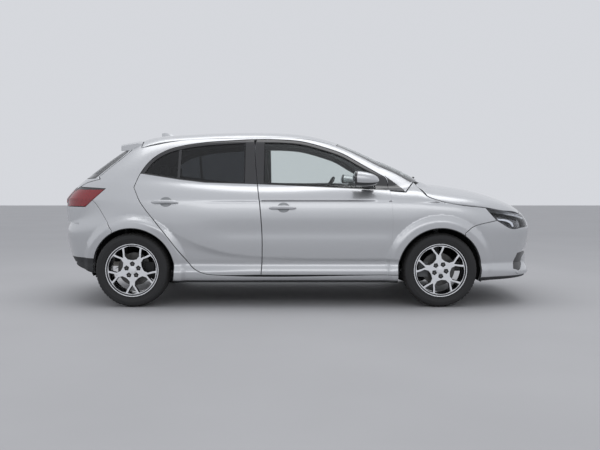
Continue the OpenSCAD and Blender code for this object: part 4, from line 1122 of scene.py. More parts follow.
# ---- Lamps --------------------------------------------------------------------------------
red_lens = material("red_lens", (0.50, 0.012, 0.025), 0.08, Coat_Weight=1.0, Coat_Roughness=0.02,
                    Transmission_Weight=0.55, IOR=1.45)
vary(red_lens, 0.05, 0.12, 40, "Roughness")
lamp_glass = material("lamp_glass", (0.97, 0.98, 1.0), 0.0, Transmission_Weight=1.0, IOR=1.3)
vary(lamp_glass, 0.0, 0.015, 10, "Roughness")
bright = material("lamp_reflector", (0.86, 0.87, 0.90), 0.12, 1.0)
vary(bright, 0.08, 0.2, 40, "Roughness")
light_guide = material("light_guide", (0.92, 0.94, 0.97), 0.25, Transmission_Weight=0.3)
vary(light_guide, 0.2, 0.3, 60, "Roughness")
red_glow = material("red_light_bar", (0.80, 0.08, 0.12), 0.25, Coat_Weight=1.0)
vary(red_glow, (0.78, 0.07, 0.11), (0.88, 0.20, 0.22), 70)

LAMP = [[1572, 830], [1680, 812], [1800, 791], [1909, 770], [1985, 742], [2010, 666],
        [1920, 652], [1813, 650], [1735, 684], [1668, 722]]
lamp_outline = arcs_side(LAMP, NOSE_AXIS, 1)


def headlamp(side, flip):
    p = Panel(on_nose, lamp_outline, gap=1.5, hem=2, depth=1.5, step=16)
    p.ring(1.5, 6)
    p.back(1.5, 5, 0, step=24)
    p.build("headlamp_lens_" + side, [lamp_glass], "lamp_lens", flip=flip,
            replaces=["headlamps"] if not flip else ())
    p = Panel(on_nose, lamp_outline, gap=2.5, depth=54, step=26, fold=False)
    p.ring(2.5, 6)
    p.build("headlamp_bowl_" + side, [gloss_black], "lamp_lens", flip=flip)
    # a bright eyebrow along the top and a tick below it
    brow = arcs_side([[1600, 820], [1760, 790], [1900, 762], [1972, 736], [1960, 722],
                      [1890, 746], [1750, 774]], NOSE_AXIS, 1)
    patch("daytime_strip_" + side, on_nose, brow, light_guide, 16, 30, "lamp_lens", flip=flip)
    tick = arcs_side([[1690, 738], [1800, 722], [1840, 700], [1850, 668], [1835, 662],
                      [1815, 690], [1780, 708], [1700, 722]], NOSE_AXIS, 1)
    patch("lamp_blade_" + side, on_nose, tick, bright, 22, 36, "lamp_lens", flip=flip, step=10)


both(headlamp)

TAIL_TOP = [[-1628, 991], [-1720, 996], [-1808, 1000]]
tail_outline = (arcs_side(TAIL_TOP, TAIL_AXIS, -1)
                + arcs_end([[592, 1003], [568, 950], [553, 838]], TAIL_AXIS, -1)
                + arcs_side([[-1808, 838], [-1755, 880], [-1690, 938]], TAIL_AXIS, -1))


def tail_lamp(side, flip):
    # the lamp's black lid is its upper edge
    lid = within([[u, LAMP_LID] for u in np.arange(300, 1300, 10)], tail_outline, -5)
    p = Panel(on_tail, tail_outline, gap=1.5, hem=2.5, depth=0, step=13, lines=[lid])
    p.paint(lambda u, v: v > LAMP_LID, 1)
    p.ring(1.5, 8)
    p.back(1.5, 6, 0, step=24)
    p.build("tail_lamp_lens_" + side, [red_lens, gloss_black], "red_lens", flip=flip,
            replaces=["tail_lamps"] if not flip else ())
    p = Panel(on_tail, tail_outline, gap=2.5, depth=46, step=26, fold=False)
    p.ring(2.5, 7)
    p.build("tail_lamp_bowl_" + side, [gloss_black], "red_lens", flip=flip)
    bar = arcs_side([[-1786, 962], [-1812, 964], [-1846, 862], [-1822, 860]], TAIL_AXIS, -1)
    patch("tail_light_bar_" + side, on_tail, bar, red_glow, 12, 30, "red_lens", flip=flip)
    # the inner part of the lamp, on the tailgate
    inner = arcs_end([[553, 998], [548, 950], [538, 862], [400, 880], [372, 960], [380, 990]],
                     HATCH_AXIS, -1)
    p = Panel(on_hatch, inner, gap=0, hem=3, depth=-4, step=14)
    p.paint(lambda u, v: v > HATCH_LAMP_LID, 1)
    p.ring(0, 3)
    p.build("tailgate_lamp_" + side, [red_lens, gloss_black], "red_lens", "tailgate", flip)


both(tail_lamp)


# ---- Door openings and pillars ------------------------------------------------------------
def ring_depth(extra_low, extra_high):
    """A depth for the area below the belt and another for the area above it."""
    return lambda uv: extra_high + (extra_low - extra_high) * ease(
        (belt_at(uv[:, 0]) - 14 - uv[:, 1]) / 18)


def frame_plate(side, flip):
    """The painted flange that the doors close against, with its rubber seals."""
    # the front door's edge swings in behind the fender, so the wall there stands further forward
    roomy = [[x + 27 * (x > 700 and z < 1060), z] for x, z in OPENING]
    rows = [from_side(loop(o, 1, 14), Panel.at(loop(o, 1, 14), d))
            for o, d in ((OPENING, 16), (roomy, 22), (roomy, ring_depth(80, 34)),
                         (roomy, ring_depth(117, 50)))]
    shell("opening_wall_" + side, rows, [inner_paint], flip=flip, caps=False)
    front, rear = grown(FRONT_DOOR, -40), grown(REAR_DOOR, -40)
    p = Panel(from_side, grown(roomy, 1), [front, rear], gap=0, hem=0, step=20,
              depth=ring_depth(116, 50), fold=False)
    p.ring(0, ring_depth(150, 74))
    p.back(0, ring_depth(152, 76), 1, step=40)
    p.build("opening_flange_" + side, [inner_paint, cabin], "body_paint", flip=flip)
    for which, outline in (("front", front), ("rear", rear)):
        tube = loop(outline, 4, 16)
        centre = from_side(tube, Panel.at(tube, ring_depth(112, 45)))
        hose(which + "_door_seal_" + side, centre, 6.5, rubber, flip=flip, closed=True, sides=8)


both(frame_plate)

# ---- Wheels --------------------------------------------------------------------------------
tyre_side = material("tyre_sidewall", (0.022, 0.022, 0.023), 0.72)
grain(tyre_side, 220, 0.25, 0.0004)
tyre_tread = material("tyre_tread", (0.028, 0.027, 0.026), 0.85)
grain(tyre_tread, 160, 0.5, 0.0006)
machined = material("machined_alloy", (0.90, 0.91, 0.93), 0.34, 0.65, Coat_Weight=0.6,
                    Coat_Roughness=0.05)
vary(machined, 0.30, 0.40, 180, "Roughness")
rim_dark = material("rim_pocket", (0.022, 0.022, 0.025), 0.30, 0.4, Coat_Weight=0.8)
vary(rim_dark, 0.24, 0.36, 60, "Roughness")
# A dark grey used only on the door handles' dishes, as painted shade for the recess round each
# handle; no part of the wheels uses it.
handle_shade_metal = material("rim_barrel", (0.30, 0.31, 0.32), 0.42, 0.8)
vary(handle_shade_metal, 0.36, 0.5, 20, "Roughness")
iron = material("brake_iron", (0.13, 0.128, 0.125), 0.45, 0.85)
vary(iron, (0.11, 0.108, 0.105), (0.15, 0.148, 0.145), 40)
cast = material("cast_metal", (0.20, 0.205, 0.21), 0.6, 0.8)
grain(cast, 260, 0.5, 0.0006)

TREAD = [(308.0, 59), (309.4, 42), (309.4, 37), (303, 36), (303, 28), (309.8, 27), (310, 6),
         (303.5, 5), (303.5, -5), (310, -6), (309.8, -27), (303, -28), (303, -36), (309.4, -37),
         (309.4, -42), (308.0, -59)]
SIDE = [(205, 78), (222, 84), (229, 92), (231, 94.5), (234, 93.2), (248, 97.2), (262, 98.6),
        (264, 99.4), (267, 98.8), (280, 97.6), (290, 93.5), (291.5, 93), (298, 86), (304, 75)]


# The rim's openings as (radius, degrees): between spokes, within a spoke, and at the hub
WINDOW = [(84, 36), (98, 13.5), (132, 9), (168, 14.5), (196, 16.5), (200, 26), (201, 36),
          (200, 46), (196, 55.5), (168, 57.5), (132, 63), (98, 58.5)]
SLIT = [(126, 0), (166, -8.5), (196, -11.5), (200, 0), (196, 11.5), (166, 8.5)]
POCKET = [(37, 14), (63, 16), (74, 36), (63, 56), (37, 58)]
NUT_CIRCLE = 54


def wheel(name, axle, phase, sign):
    centre = (axle, sign * HALF_TRACK, AXLE_HEIGHT)
    body = "wheel_" + name
    profile = SIDE + TREAD + [(r, -t) for r, t in SIDE[::-1]]

    def blocks(i, k, r, t):
        if i % 3 == 0 and 293 < r < 309.5 and abs(t) > 40:
            return r - 4.0, t
        return r, t

    revolve("tyre_" + name + "_skin", profile, centre, sign, [tyre_side, tyre_tread], body,
            180, lambda i, k: 1 if 12 <= k < len(profile) - 13 else 0, blocks,
            "tyre_" + name)
    flange = [(204, 30), (206, 80), (210, 88.5), (215, 91.5), (221, 91.5), (222.5, 89), (222, 84),
              (216, 80), (204, 76), (203, 60), (203, -78), (221, -86), (220, -91), (213, -91),
              (199, -82), (196, -60), (196, 20), (204, 30)]
    revolve("rim_barrel_" + name, flange, centre, sign, [machined, rim_dark], body, 96,
            lambda i, k: 0 if k in (3, 4) else 1, replaces="rim_" + name)

    def face(uv, depth):
        r = np.hypot(uv[:, 0], uv[:, 1])
        out = 86 - 16 * ease((150 - r) / 120) - 4 * ease((r - 186) / 22) - depth
        return np.stack([axle + uv[:, 0], centre[1] + sign * out, AXLE_HEIGHT + uv[:, 1]], axis=1)

    face.normals = lambda p, d: np.tile([0.0, float(sign), 0.0], (len(p), 1))

    def ray(r, a):
        t = math.radians(a + phase)
        return [r * math.cos(t), r * math.sin(t)]

    holes = []
    for i in range(5):
        a = 72 * i
        holes += [[ray(r, a + turn) for r, turn in hole] for hole in (WINDOW, SLIT, POCKET)]
    rim_edge = [ray(206, k * 9) for k in range(40)]
    p = Panel(face, rim_edge, holes, gap=0, hem=2.5, step=11, edge_step=8)
    p.ring(-1.5, 14, 90, 1)
    p.ring(-4, 30, 90, 1)
    p.build("rim_face_" + name, [machined, rim_dark], "alloy_rim", body)
    # the hub's dark floor behind the spokes, wheel nuts and a plain cap
    revolve("rim_hub_" + name, [(20, 56), (77, 56), (80, 53), (80, 20)], centre, sign, [rim_dark],
            body, 60)
    for i in range(5):
        nut = face(np.array([ray(NUT_CIRCLE, 72 * i + 36)]), np.array([8.0]))[0]
        revolve("wheel_nut_%s_%d" % (name, i), [(0.1, 8), (7, 8), (9.5, 6), (9.5, -4)], nut, sign,
                [iron], body, 6)
    hub = face(np.array([[0.0, 0.0]]), np.array([0.0]))[0]
    revolve("hub_cap_" + name, [(0.1, 7), (18, 6.6), (28, 5), (31, 2), (31, -6)], hub, sign,
            [machined], body, 40)
    disc = [(62, -36), (66, -37), (139, -37), (140, -36), (140, -30), (132, -29), (132, -23),
            (140, -22), (140, -16), (139, -15), (72, -15), (70, -10), (70, 3), (66, 6), (22, 6),
            (22, 0), (60, 0), (62, -36)]
    revolve("brake_disc_skin_" + name, disc, centre, sign, [iron], body,
            replaces="brake_disc_" + name)
    valve = [centre + np.array([r * math.cos(math.radians(phase + 108)), sign * t,
                                r * math.sin(math.radians(phase + 108))])
             for r, t in ((196, 76), (190, 80), (182, 84))]
    hose("tyre_valve_" + name, valve, 3.2, rubber, body)


wheel("front_left", FRONT_AXLE, 18, 1)
wheel("front_right", FRONT_AXLE, 97, -1)
wheel("rear_left", REAR_AXLE, -60, 1)
wheel("rear_right", REAR_AXLE, -90, -1)


# ---- Door handles and mirrors ------------------------------------------------------------
def handle(side, flip):
    for which, cx, cz in (("front", -127.0, 834.0), ("rear", -1104.0, 880.0)):
        body = which + "_door_" + side
        # A flat dark grey dish round each handle, 0.8 mm out from the skin: painted shade standing
        # in for a hollow recess.
        dish = [[cx + 8 + 52 * math.cos(a), cz + 41 * math.sin(a)]
                for a in np.linspace(0, 2 * math.pi, 20, endpoint=False)]
        p = Panel(from_side, dish, gap=0, hem=1.5, depth=-0.8, step=9, edge_step=6)
        p.build("handle_shade_dish_%s_%s" % (which, side), [handle_shade_metal], "body_paint", body, flip)
        rows = []
        for i in range(33):
            t = i / 32
            x = cx - 112 + 224 * t
            z = cz + 3 - 5 * (2 * t - 1) ** 2
            y = side_y(cx - 112, z) + (side_y(cx + 112, z) - side_y(cx - 112, z)) * t
            lift = 27 * (1 - abs(2 * t - 1) ** 5) + 1
            tall = 14.5 * (1 - 0.55 * abs(2 * t - 1) ** 5)
            thick = 7.5 if 0.09 < t < 0.91 else 7.5 + 12 * max(0.09 - t, t - 0.91) / 0.09
            rows.append([[x, y + lift + thick * square_off(math.cos(a), 0.7),
                          z + tall * square_off(math.sin(a), 0.8)] for a in around(14)])
        shell("door_handle_%s_%s" % (which, side), rows, [paint], body, flip)


def door_mirror(side, flip):
    body = "front_door_" + side
    x_back, x_nose, cy, cz = 470.0, 664.0, 936.0, 1068.0
    rows = []
    for i in range(19):
        t = math.sin(math.pi / 2 * i / 18)
        g = max((1 - t**2.6) ** 0.5, 0.05)
        row = []
        for a in around(30):
            c, s = math.cos(a), math.sin(a)
            wide = 92 * g * square_off(c, 0.75)
            tall = (66 if s > 0 else 60) * g * square_off(s, 0.8)
            row.append([x_back + (x_nose - x_back) * t - 12 * abs(c) ** 3 * (1 - t),
                        cy + wide - 10 * t, cz + tall - 13 * t + 0.05 * wide])
        rows.append(row)
    shell("mirror_head_" + side, rows, [paint, gloss_black], body, flip,
          which=lambda i, k: 1 if i == 0 or 17 <= k <= 27 else 0, angle=0.6,
          replaces="door_mirror_" + side)
    rows = [[[x_back - out - 12 * abs(math.cos(a)) ** 3,
              cy + wide * square_off(math.cos(a), 0.75),
              cz + tall * square_off(math.sin(a), 0.8)] for a in around(30)]
            for out, wide, tall in ((4, 86, 60), (5, 84, 58), (3, 80, 54))]
    shell("mirror_glass_" + side, rows, [bright], body, flip)
    rows = []
    for i in range(9):
        t = i / 8
        y = 815 + (905 - 815) * t
        z = 996 + 22 * t
        x = 585 - 18 * t
        wide, tall = 52 - 12 * t, 13 + 5 * t * t
        rows.append([[x + wide * math.cos(a), y, z + tall * math.sin(a)] for a in around(16)])
    shell("mirror_foot_" + side, rows, [plastic], body, flip)


both(handle)
both(door_mirror)

# ---- Trim ---------------------------------------------------------------------------------
liner = material("liner_felt", (0.02, 0.02, 0.021), 0.95)
grain(liner, 500, 0.8, 0.001)


def trim(side, flip):
    sail = [[757, 979], [893, 967], [888, 982], [850, 1014], [806, 1049], [764, 1080], [741, 1097],
            [733, 1097], [745, 1086], [757, 1058]]
    patch("sail_trim_" + side, from_side, sail, gloss_black, -2, 6, "gloss_black", flip=flip,
          edge_step=8)
    post = [[-1016, 1052], [-994, 1050], [-994, 1362], [-1016, 1358]]
    patch("window_divider_" + side, from_side, post, gloss_black, GLASS_IN - 4, 14, "gloss_black",
          "rear_door_" + side, flip, 1.5)
    for which, outline in (("front", front_window), ("rear", rear_window)):
        tube = loop(outline, 0.5, 14)
        hose(which + "_window_seal_" + side, from_side(tube, np.full(len(tube), 5.0)), 4.0, rubber,
             which + "_door_" + side, flip, closed=True, sides=8)
    for which, axle, start, end in (("front", FRONT_AXLE, -14, 186), ("rear", REAR_AXLE, -16, 186)):
        a = np.array(arc(axle, AXLE_HEIGHT, ARCH + 0.5, start, end, 70))
        hose(which + "_arch_lip_" + side, from_side(a, np.full(len(a), 7.0)), 4.5, plastic,
             flip=flip, sides=8)
        a, inner = (np.array(arc(axle, AXLE_HEIGHT, ARCH + r, -17, 194, 60)) for r in (30, -1))
        outer = from_side(a, np.full(len(a), 26.0))
        flange = np.stack([inner[:, 0], np.full(len(a), 600.0), inner[:, 1]], axis=1)
        shell(which + "_arch_liner_" + side, [outer, outer * [1, 0, 1] + [0, 600, 0], flange],
              [liner], flip=flip, closed=False, caps=False)
    sill = np.array([[x, 213.0] for x in np.linspace(-1030, 832, 60)])
    hose("sill_lip_" + side, from_side(sill, np.full(60, 14.0)), 9, plastic, flip=flip, sides=8)


both(trim)


def plate(name, place, low, high):
    """A blank number plate on its black holder."""
    for part, grow, d, mat, slot in (("holder", 8, -3, plastic, "black_plastic"),
                                     ("face", 0, -7, plate_white, "body_paint")):
        half = PLATE_HALF + grow
        shape = [[0, low - grow], [half, low - grow], [half, high + grow], [0, high + grow]]
        patch(name + "_" + part, place, mirrored(shape), mat, d, d + 4, slot, hem=1.5, step=24)


plate_white = material("plate_white", (0.70, 0.70, 0.67), 0.38)
vary(plate_white, (0.68, 0.68, 0.65), (0.72, 0.72, 0.69), 60)
PLATE_HALF = 258
plate("front_plate", on_nose, 512, 614)
plate("rear_plate", on_tail, 560, 662)

# Wipers, aerial and the high brake light
for k, (y0, y1) in enumerate(((-430, 130), (60, 560))):
    ys = np.linspace(y0, y1, 16)
    arm = np.array([[1042 - 26 * abs(y / 500) ** 2, y] for y in ys])
    centre = from_above(arm, np.full(16, -9.0))
    hose("wiper_blade_%d" % k, centre, 5.5, plastic, sides=8)
    arm = np.array([[1075, y1 - 40], [1062, y1 - 130], [1050, (y0 + y1) / 2 + 20],
                    [1042, (y0 + y1) / 2 - 10]])
    lift = np.array([4.0, -12.0, -20.0, -16.0])
    hose("wiper_arm_%d" % k, from_above(arm, lift), 6, gloss_black, sides=8)
arm = np.array(arcs_end([[0, 1075], [70, 1080], [150, 1085], [250, 1088], [330, 1086]],
                        HATCH_AXIS, -1))
hose("rear_wiper_arm", on_hatch(arm, np.full(5, -14.0)), 7, gloss_black, "tailgate")
revolve("rear_wiper_boss", [(0.1, 20), (14, 19), (18, 15), (19, 0)], (end_x(0, 1075, -1) + 16, 0,
        1075), 1, [gloss_black], "tailgate", count=24)
soft_box("high_brake_light", (-1556, -150, 1362), (-1532, 150, 1374), 3, red_glow,
         "tailgate", 8)
fin = []
for i in range(13):
    t = i / 12
    x = -1130 - 150 * t
    top = roof(x) + 1 + 52 * ease(t * 1.15) * (1 - 0.15 * t)
    base = roof(x) - 4
    wide = 17 * (1 - (2 * t - 1) ** 4) + 2
    fin.append([[x, wide * s * (1 - 0.75 * v), base + (top - base) * v]
                for s, v in ((-1, 0), (-1, 0.35), (-0.8, 0.8), (-0.4, 1), (0.4, 1), (0.8, 0.8),
                             (1, 0.35), (1, 0))])
shell("aerial_fin", fin, [paint])

# ---- Cabin --------------------------------------------------------------------------------
fabric = material("seat_fabric", (0.055, 0.056, 0.06), 0.88, Sheen_Weight=0.35,
                  Sheen_Roughness=0.4)
grain(fabric, 1500, 0.55, 0.0005, "ShaderNodeTexVoronoi")
fabric_light = material("seat_centre_fabric", (0.12, 0.122, 0.13), 0.9, Sheen_Weight=0.3)
grain(fabric_light, 900, 0.7, 0.0006, "ShaderNodeTexVoronoi")
carpet = material("carpet", (0.025, 0.025, 0.027), 0.95, Sheen_Weight=0.3)
grain(carpet, 2200, 0.9, 0.001)
leather = material("wheel_leather", (0.018, 0.018, 0.019), 0.5)
grain(leather, 1200, 0.4, 0.0003, "ShaderNodeTexVoronoi")
screen_black = material("screen_glass", (0.008, 0.009, 0.012), 0.06, Coat_Weight=1.0)
vary(screen_black, 0.05, 0.1, 20, "Roughness")


def pad(name, spine, half_width, thick, bolster, middle_y, body, seams=()):
    """A stitched cushion: crowned across and along, with raised sides and sewn seams.

    spine is a list of (x, z) along the middle of the pad, and thick runs to each side of it.
    """
    spine = np.array(spine, float)
    reach = np.concatenate([[0], np.cumsum(np.linalg.norm(np.diff(spine, axis=0), axis=1))])
    rows, count = 34, 44
    out = []
    for i in range(rows + 1):
        t = 0.5 - 0.5 * math.cos(math.pi * i / rows)
        s = t * reach[-1]
        c = np.array([np.interp(s, reach, spine[:, 0]), np.interp(s, reach, spine[:, 1])])
        d = np.array([np.interp(s + 6, reach, spine[:, 0]) - np.interp(s - 6, reach, spine[:, 0]),
                      np.interp(s + 6, reach, spine[:, 1]) - np.interp(s - 6, reach, spine[:, 1])])
        d /= max(np.linalg.norm(d), 1e-9)
        up = np.array([-d[1], d[0]])
        end = max(1 - abs(2 * t - 1) ** 7, 0.0) ** 0.5
        row = []
        for a in around(count):
            w, h = square_off(math.cos(a), 0.55), square_off(math.sin(a), 0.75)
            rise = 1.0
            if math.sin(a) > 0:
                rise += bolster * ease((abs(w) - 0.55) / 0.35)
                rise += 0.10 * (1 - min(abs(w) / 0.6, 1) ** 2)
                sew = math.exp(-((abs(w) - 0.60) / 0.022) ** 2)
                for q in seams:
                    if abs(w) < 0.6:
                        sew = max(sew, math.exp(-((t - q) / 0.010) ** 2))
                rise -= 0.16 * sew
            y = w * half_width * (0.94 + 0.06 * end) * max(end, 0.001) ** 0.25
            lift = h * thick * rise * end
            row.append([c[0] + up[0] * lift, middle_y + y, c[1] + up[1] * lift])
        out.append(row)
    obj = shell(name, out, [fabric, fabric_light], body,
                which=lambda i, k: 1 if 8 <= k <= 13 and 3 < i < rows - 4 else 0, angle=1.4)
    return obj


for side, sy in (("left", 1), ("right", -1)):
    y = 365 * sy
    pad("seat_cushion_" + side, [[92, 392], [20, 400], [-150, 386], [-330, 372]][::-1], 246, 56,
        0.34, y, "root", (0.35, 0.62))
    pad("seat_back_" + side, [[-322, 440], [-350, 600], [-385, 820], [-405, 960], [-416, 1072]],
        238, 50, 0.42, y, "root", (0.3, 0.55, 0.78))
    pad("head_restraint_" + side, [[-402, 1122], [-398, 1190], [-390, 1272]], 122, 42, 0.0, y,
        "root")
    for post in (-60, 60):
        hose("restraint_post_%s_%d" % (side, post > 0), [[-405, y + post, 1050], [-404, y + post,
             1090], [-402, y + post, 1136]], 6, chrome)
    soft_box("seat_base_" + side, (-300, y - 200, 226), (60, y + 200, 335), 14, cabin)
    soft_box("belt_buckle_" + side, (-290, y - 262 * sy - 12, 400), (-262, y - 262 * sy + 12, 505),
             6, plastic, tilt=18)
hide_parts("front_seats")
pad("bench_cushion", [[-985, 452], [-800, 462], [-650, 465], [-580, 452]], 628, 46, 0.10, 0,
    "root", (0.5,))
for side, y, half in (("left", 412, 200), ("middle", 0, 200), ("right", -412, 200)):
    pad("bench_back_" + side, [[-1012, 500], [-1066, 660], [-1128, 850], [-1188, 1042]], half, 46,
        0.22 if side != "middle" else 0.05, y, "root", (0.4, 0.7))
    pad("bench_restraint_" + side, [[-1192, 1078], [-1192, 1192]],
        108, 30, 0.0, 370 * (y > 0) - 370 * (y < 0), "root")
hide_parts("rear_seat")

# Dashboard: a padded shell swept across the car, with its hood, screens, vents and console
dash_rows = []
for y in np.linspace(-590, 590, 61):
    hood = 34 * math.exp(-((y - 365) / 150) ** 4)
    arch = 8 * (abs(y) / 590) ** 2
    dash_rows.append([[560 + arch, y, 716], [532, y, 770], [516 + arch, y, 806],
                      [524 - hood * 0.6, y, 860 + hood * 0.3], [545 - hood, y, 915 + hood],
                      [580 - hood * 0.5, y, 948 + hood * 1.1], [640, y, 976 + hood * 0.7],
                      [760, y, 988 + hood * 0.1], [900, y, 990], [984, y, 974], [984, y, 700],
                      [720, y, 660]])
shell("dash_shell", dash_rows, [cabin, plastic], which=lambda i, k: 1 if k in (1, 2) else 0,
      angle=0.5, replaces="dashboard")
soft_box("instrument_screen", (497, 250, 905), (506, 480, 985), 5, screen_black,
         tilt=-14)
soft_box("centre_screen", (492, -140, 880), (506, 140, 985), 6, screen_black,
         tilt=-12)
for k, y in enumerate((-520, -195, 195, 535)):
    soft_box("air_vent_%d" % k, (508, y - 48, 838), (528, y + 48, 880), 6, gloss_black, tilt=-8)
    for m in range(4):
        soft_box("vent_vane_%d_%d" % (k, m), (503, y - 42, 843 + m * 9), (512, y + 42, 846 + m * 9),
                 1, chrome if m == 1 else plastic)
soft_box("glove_box_lid", (512, -545, 735), (532, -235, 812), 8, cabin, tilt=-12)
soft_box("centre_console", (-330, -92, 330), (560, 92, 520), 26, cabin)
soft_box("console_stack", (470, -150, 505), (720, 150, 760), 24, plastic)
soft_box("console_armrest", (-330, -84, 520), (-70, 84, 575), 22, leather)
soft_box("gear_gate", (150, -60, 516), (330, 60, 530), 6, gloss_black)
hose("gear_lever", [[240, 0, 520], [236, 0, 570], [228, 0, 615]], [8, 7, 7], chrome)
soft_box("gear_knob", (206, -22, 608), (250, 22, 662), 16, leather)
for k, (y, wide) in enumerate(((300, 34), (365, 40), (435, 32))):
    soft_box("pedal_%d" % k, (705, y - wide / 2, 330), (718, y + wide / 2, 400), 4, chrome, tilt=25)
hose("cabin_mirror_stem", [[395, 0, 1378], [360, 0, 1350], [345, 0, 1335]], 6, plastic)
soft_box("cabin_mirror", (328, -112, 1292), (352, 112, 1350), 10, gloss_black, tilt=-10)

# Steering wheel, leaning back on its column
WHEEL_AT = Vector((275.0, 365.0, 935.0))
COLUMN_LEAN = 25       # degrees from level
lean = Matrix.Rotation(math.radians(COLUMN_LEAN - 90), 3, "Y")


def on_wheel(p):
    return list(lean @ Vector(p) + WHEEL_AT)


rows = []
for a in around(64):
    fat = 15 + 2.2 * math.exp(-((abs(math.degrees(a) % 180 - 90) - 60) / 14) ** 2)
    reach = [(170 + fat * 0.95 * math.cos(b), fat * math.sin(b)) for b in around(16)]
    rows.append([on_wheel([r * math.cos(a), r * math.sin(a), h]) for r, h in reach])
rows.append(rows[0])
shell("steering_rim", rows, [leather], "steering_wheel", caps=False,
      angle=1.2, replaces="steering_wheel")
for i, a in enumerate((90, 180, 270)):
    ca, sa = math.cos(math.radians(a)), math.sin(math.radians(a))
    rows = []
    for k in range(7):
        r = 44 + (162 - 44) * k / 6
        w = 19 - 6 * k / 6
        rows.append([on_wheel([r * ca - w * u * sa, r * sa + w * u * ca, -12 + 7 * v + 6 * k / 6])
                     for u, v in ((-1, -0.6), (-0.7, 1), (0.7, 1), (1, -0.6), (0.6, -1),
                                  (-0.6, -1))])
    shell("steering_spoke_%d" % i, rows, [chrome if i == 1 else leather], "steering_wheel")
rows = []
for r, h in ((0.5, 12), (30, 11), (48, 8), (58, 2), (61, -8), (61, -28), (50, -34)):
    rows.append([on_wheel([r * math.cos(a), r * math.sin(a), h]) for a in around(28)])
shell("airbag_cover", rows, [leather], "steering_wheel")
hose("steering_column", [on_wheel([0, 0, -44]), on_wheel([0, 0, -180]), on_wheel([0, 0, -325])],
     [34, 40, 44], cabin)
for i, s in enumerate((-1, 1)):
    stalk = [on_wheel([0, s * y, z]) for y, z in ((40, -70), (100, -66), (150, -60))]
    hose("column_stalk_%d" % i, stalk, [7, 6, 8], plastic)


def door_card(side, flip):
    for which, x0, x1, z in (("front", -200, 480, 742), ("rear", -820, -400, 772)):
        body = which + "_door_" + side
        rows = []
        for i in range(25):
            t = i / 24
            x = x0 + (x1 - x0) * t
            yy = side_y(x, z) - 103
            out = 46 * (1 - abs(2 * t - 1) ** 6)
            rows.append([[x, yy + 2, z - 50], [x, yy - out * 0.55, z - 42], [x, yy - out, z - 8],
                         [x, yy - out * 0.96, z + 4], [x, yy - out * 0.5, z + 9],
                         [x, yy + 2, z + 6]])
        shell("%s_armrest_%s" % (which, side), rows, [leather], body, flip, angle=0.5)
        bin_rows = []
        for i in range(21):
            t = i / 20
            x = x0 + 30 + (x1 - x0 - 60) * t
            yy = side_y(x, 430) - 103
            out = 34 * (1 - abs(2 * t - 1) ** 8)
            bin_rows.append([[x, yy + 2, 330], [x, yy - out * 0.8, 345], [x, yy - out, 440],
                             [x, yy - out + 6, 446], [x, yy + 2, 446]])
        shell("%s_door_bin_%s" % (which, side), bin_rows, [cabin], body, flip, angle=0.5)
        xs = x1 - 90 if which == "front" else x1 - 40
        yy = side_y(xs, z + 92) - 106
        pull = [[xs - 60, yy + 4, z + 88], [xs - 45, yy - 14, z + 92], [xs + 10, yy - 16, z + 94],
                [xs + 28, yy + 4, z + 94]]
        hose("%s_inner_handle_%s" % (which, side), pull, 7, chrome, body, flip)


both(door_card)

# ---- Engine bay ---------------------------------------------------------------------------
soft_box("engine_cover", (1120, -300, 790), (1560, 260, 842), 26, plastic, tilt=3)
for k in range(5):
    soft_box("cover_rib_%d" % k, (1150, -230 + k * 90, 838), (1530, -206 + k * 90, 850), 5,
             gloss_black, tilt=3)
revolve("oil_cap", [(0.1, 34), (24, 33), (30, 28), (31, 0)], (1200, 200, 842), 1, [plastic],
        count=28)
soft_box("battery", (1600, 400, 520), (1770, 640, 740), 10, plastic)
soft_box("battery_cover", (1596, 396, 738), (1774, 644, 756), 6, cabin)
tank_white = material("coolant_tank", (0.62, 0.63, 0.60), 0.4, Transmission_Weight=0.3)
vary(tank_white, (0.58, 0.59, 0.56), (0.66, 0.67, 0.64), 20)
soft_box("coolant_tank", (1600, -640, 560), (1740, -440, 750), 34, tank_white)
soft_box("radiator_bar", (1862, -560, 690), (1900, 560, 742), 12, inner_paint)
soft_box("radiator_pack", (1800, -480, 300), (1850, 480, 690), 10, plastic)
hose("upper_coolant_hose",
     [[1800, -250, 640], [1700, -260, 700], [1640, -200, 740], [1590, -120, 760]], 18, rubber)
hose("intake_duct",
     [[1840, 200, 720], [1740, 260, 740], [1640, 250, 770], [1560, 200, 800]], 30, plastic)

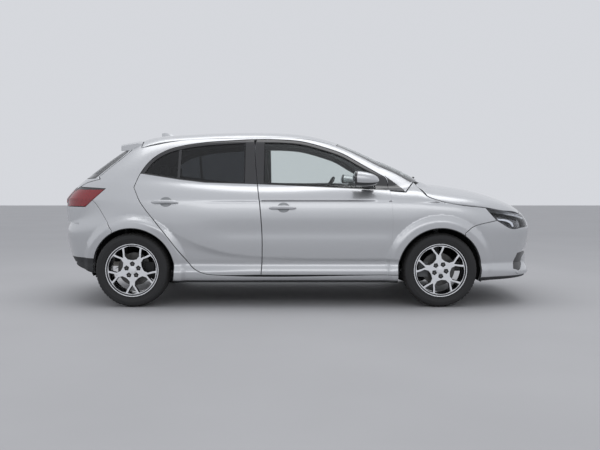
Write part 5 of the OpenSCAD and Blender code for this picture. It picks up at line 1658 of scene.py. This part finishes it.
# ---- CAD nodes that are kept -------------------------------------------------------------
chassis = material("chassis_black", (0.02, 0.02, 0.021), 0.5, 0.3)
grain(chassis, 200, 0.35, 0.0006)
steel = material("exhaust_steel", (0.42, 0.40, 0.37), 0.45, 0.95)
vary(steel, (0.36, 0.34, 0.31), (0.50, 0.48, 0.45), 9)
tank_plastic = material("tank_plastic", (0.018, 0.018, 0.019), 0.7)
grain(tank_plastic, 180, 0.4, 0.0008)
for name, mat in (("floor_pan", carpet), ("wheel_housings", liner), ("engine", cast),
                  ("knuckle_left", cast), ("knuckle_right", cast), ("front_subframe", chassis),
                  ("rear_axle_beam", chassis), ("exhaust", steel), ("fuel_tank", tank_plastic)):
    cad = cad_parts[name].data
    cad.materials.clear()
    cad.materials.append(mat)
    cad.polygons.foreach_set("material_index", np.zeros(len(cad.polygons), np.int32))

# ---- Stage --------------------------------------------------------------------------------
scene = bpy.context.scene
scene.view_settings.view_transform = "Standard"
floor_paint = material("studio_floor", (0.47, 0.47, 0.48), 0.7)
vary(floor_paint, (0.46, 0.46, 0.47), (0.48, 0.48, 0.49), 0.8)
bpy.ops.mesh.primitive_plane_add(size=60, location=(0, 0, 0))
floor = bpy.context.object
floor.name = "studio_floor"
floor.data.materials.append(floor_paint)
world = bpy.data.worlds.new("studio")
scene.world = world
world.use_nodes = True
world.node_tree.nodes["Background"].inputs["Color"].default_value = (0.93, 0.95, 1.0, 1)
world.node_tree.nodes["Background"].inputs["Strength"].default_value = 0.72


def lamp(name, place, target, size, watts):
    """An area light; lengths here are metres."""
    data = bpy.data.lights.new(name, "AREA")
    data.shape, data.size, data.size_y, data.energy = "RECTANGLE", size[0], size[1], watts
    obj = bpy.data.objects.new(name, data)
    obj.location = place
    obj.rotation_euler = (Vector(target) - Vector(place)).to_track_quat("-Z", "Y").to_euler()
    scene.collection.objects.link(obj)


lamp("overhead", (0, 0, 5.0), (0, 0, 0), (7, 3.0), 90)
lamp("near_side", (0.5, -6.5, 3.4), (0, 0, 0.7), (8, 1.6), 42)

camera_data = bpy.data.cameras.new("camera")
camera_data.lens, camera_data.sensor_width = 44.46, 36
camera = bpy.data.objects.new("camera", camera_data)
camera.location = (0.0165, -7.0, 1.02)
camera.rotation_euler = (math.radians(86.91), 0, 0)
scene.collection.objects.link(camera)
scene.camera = camera
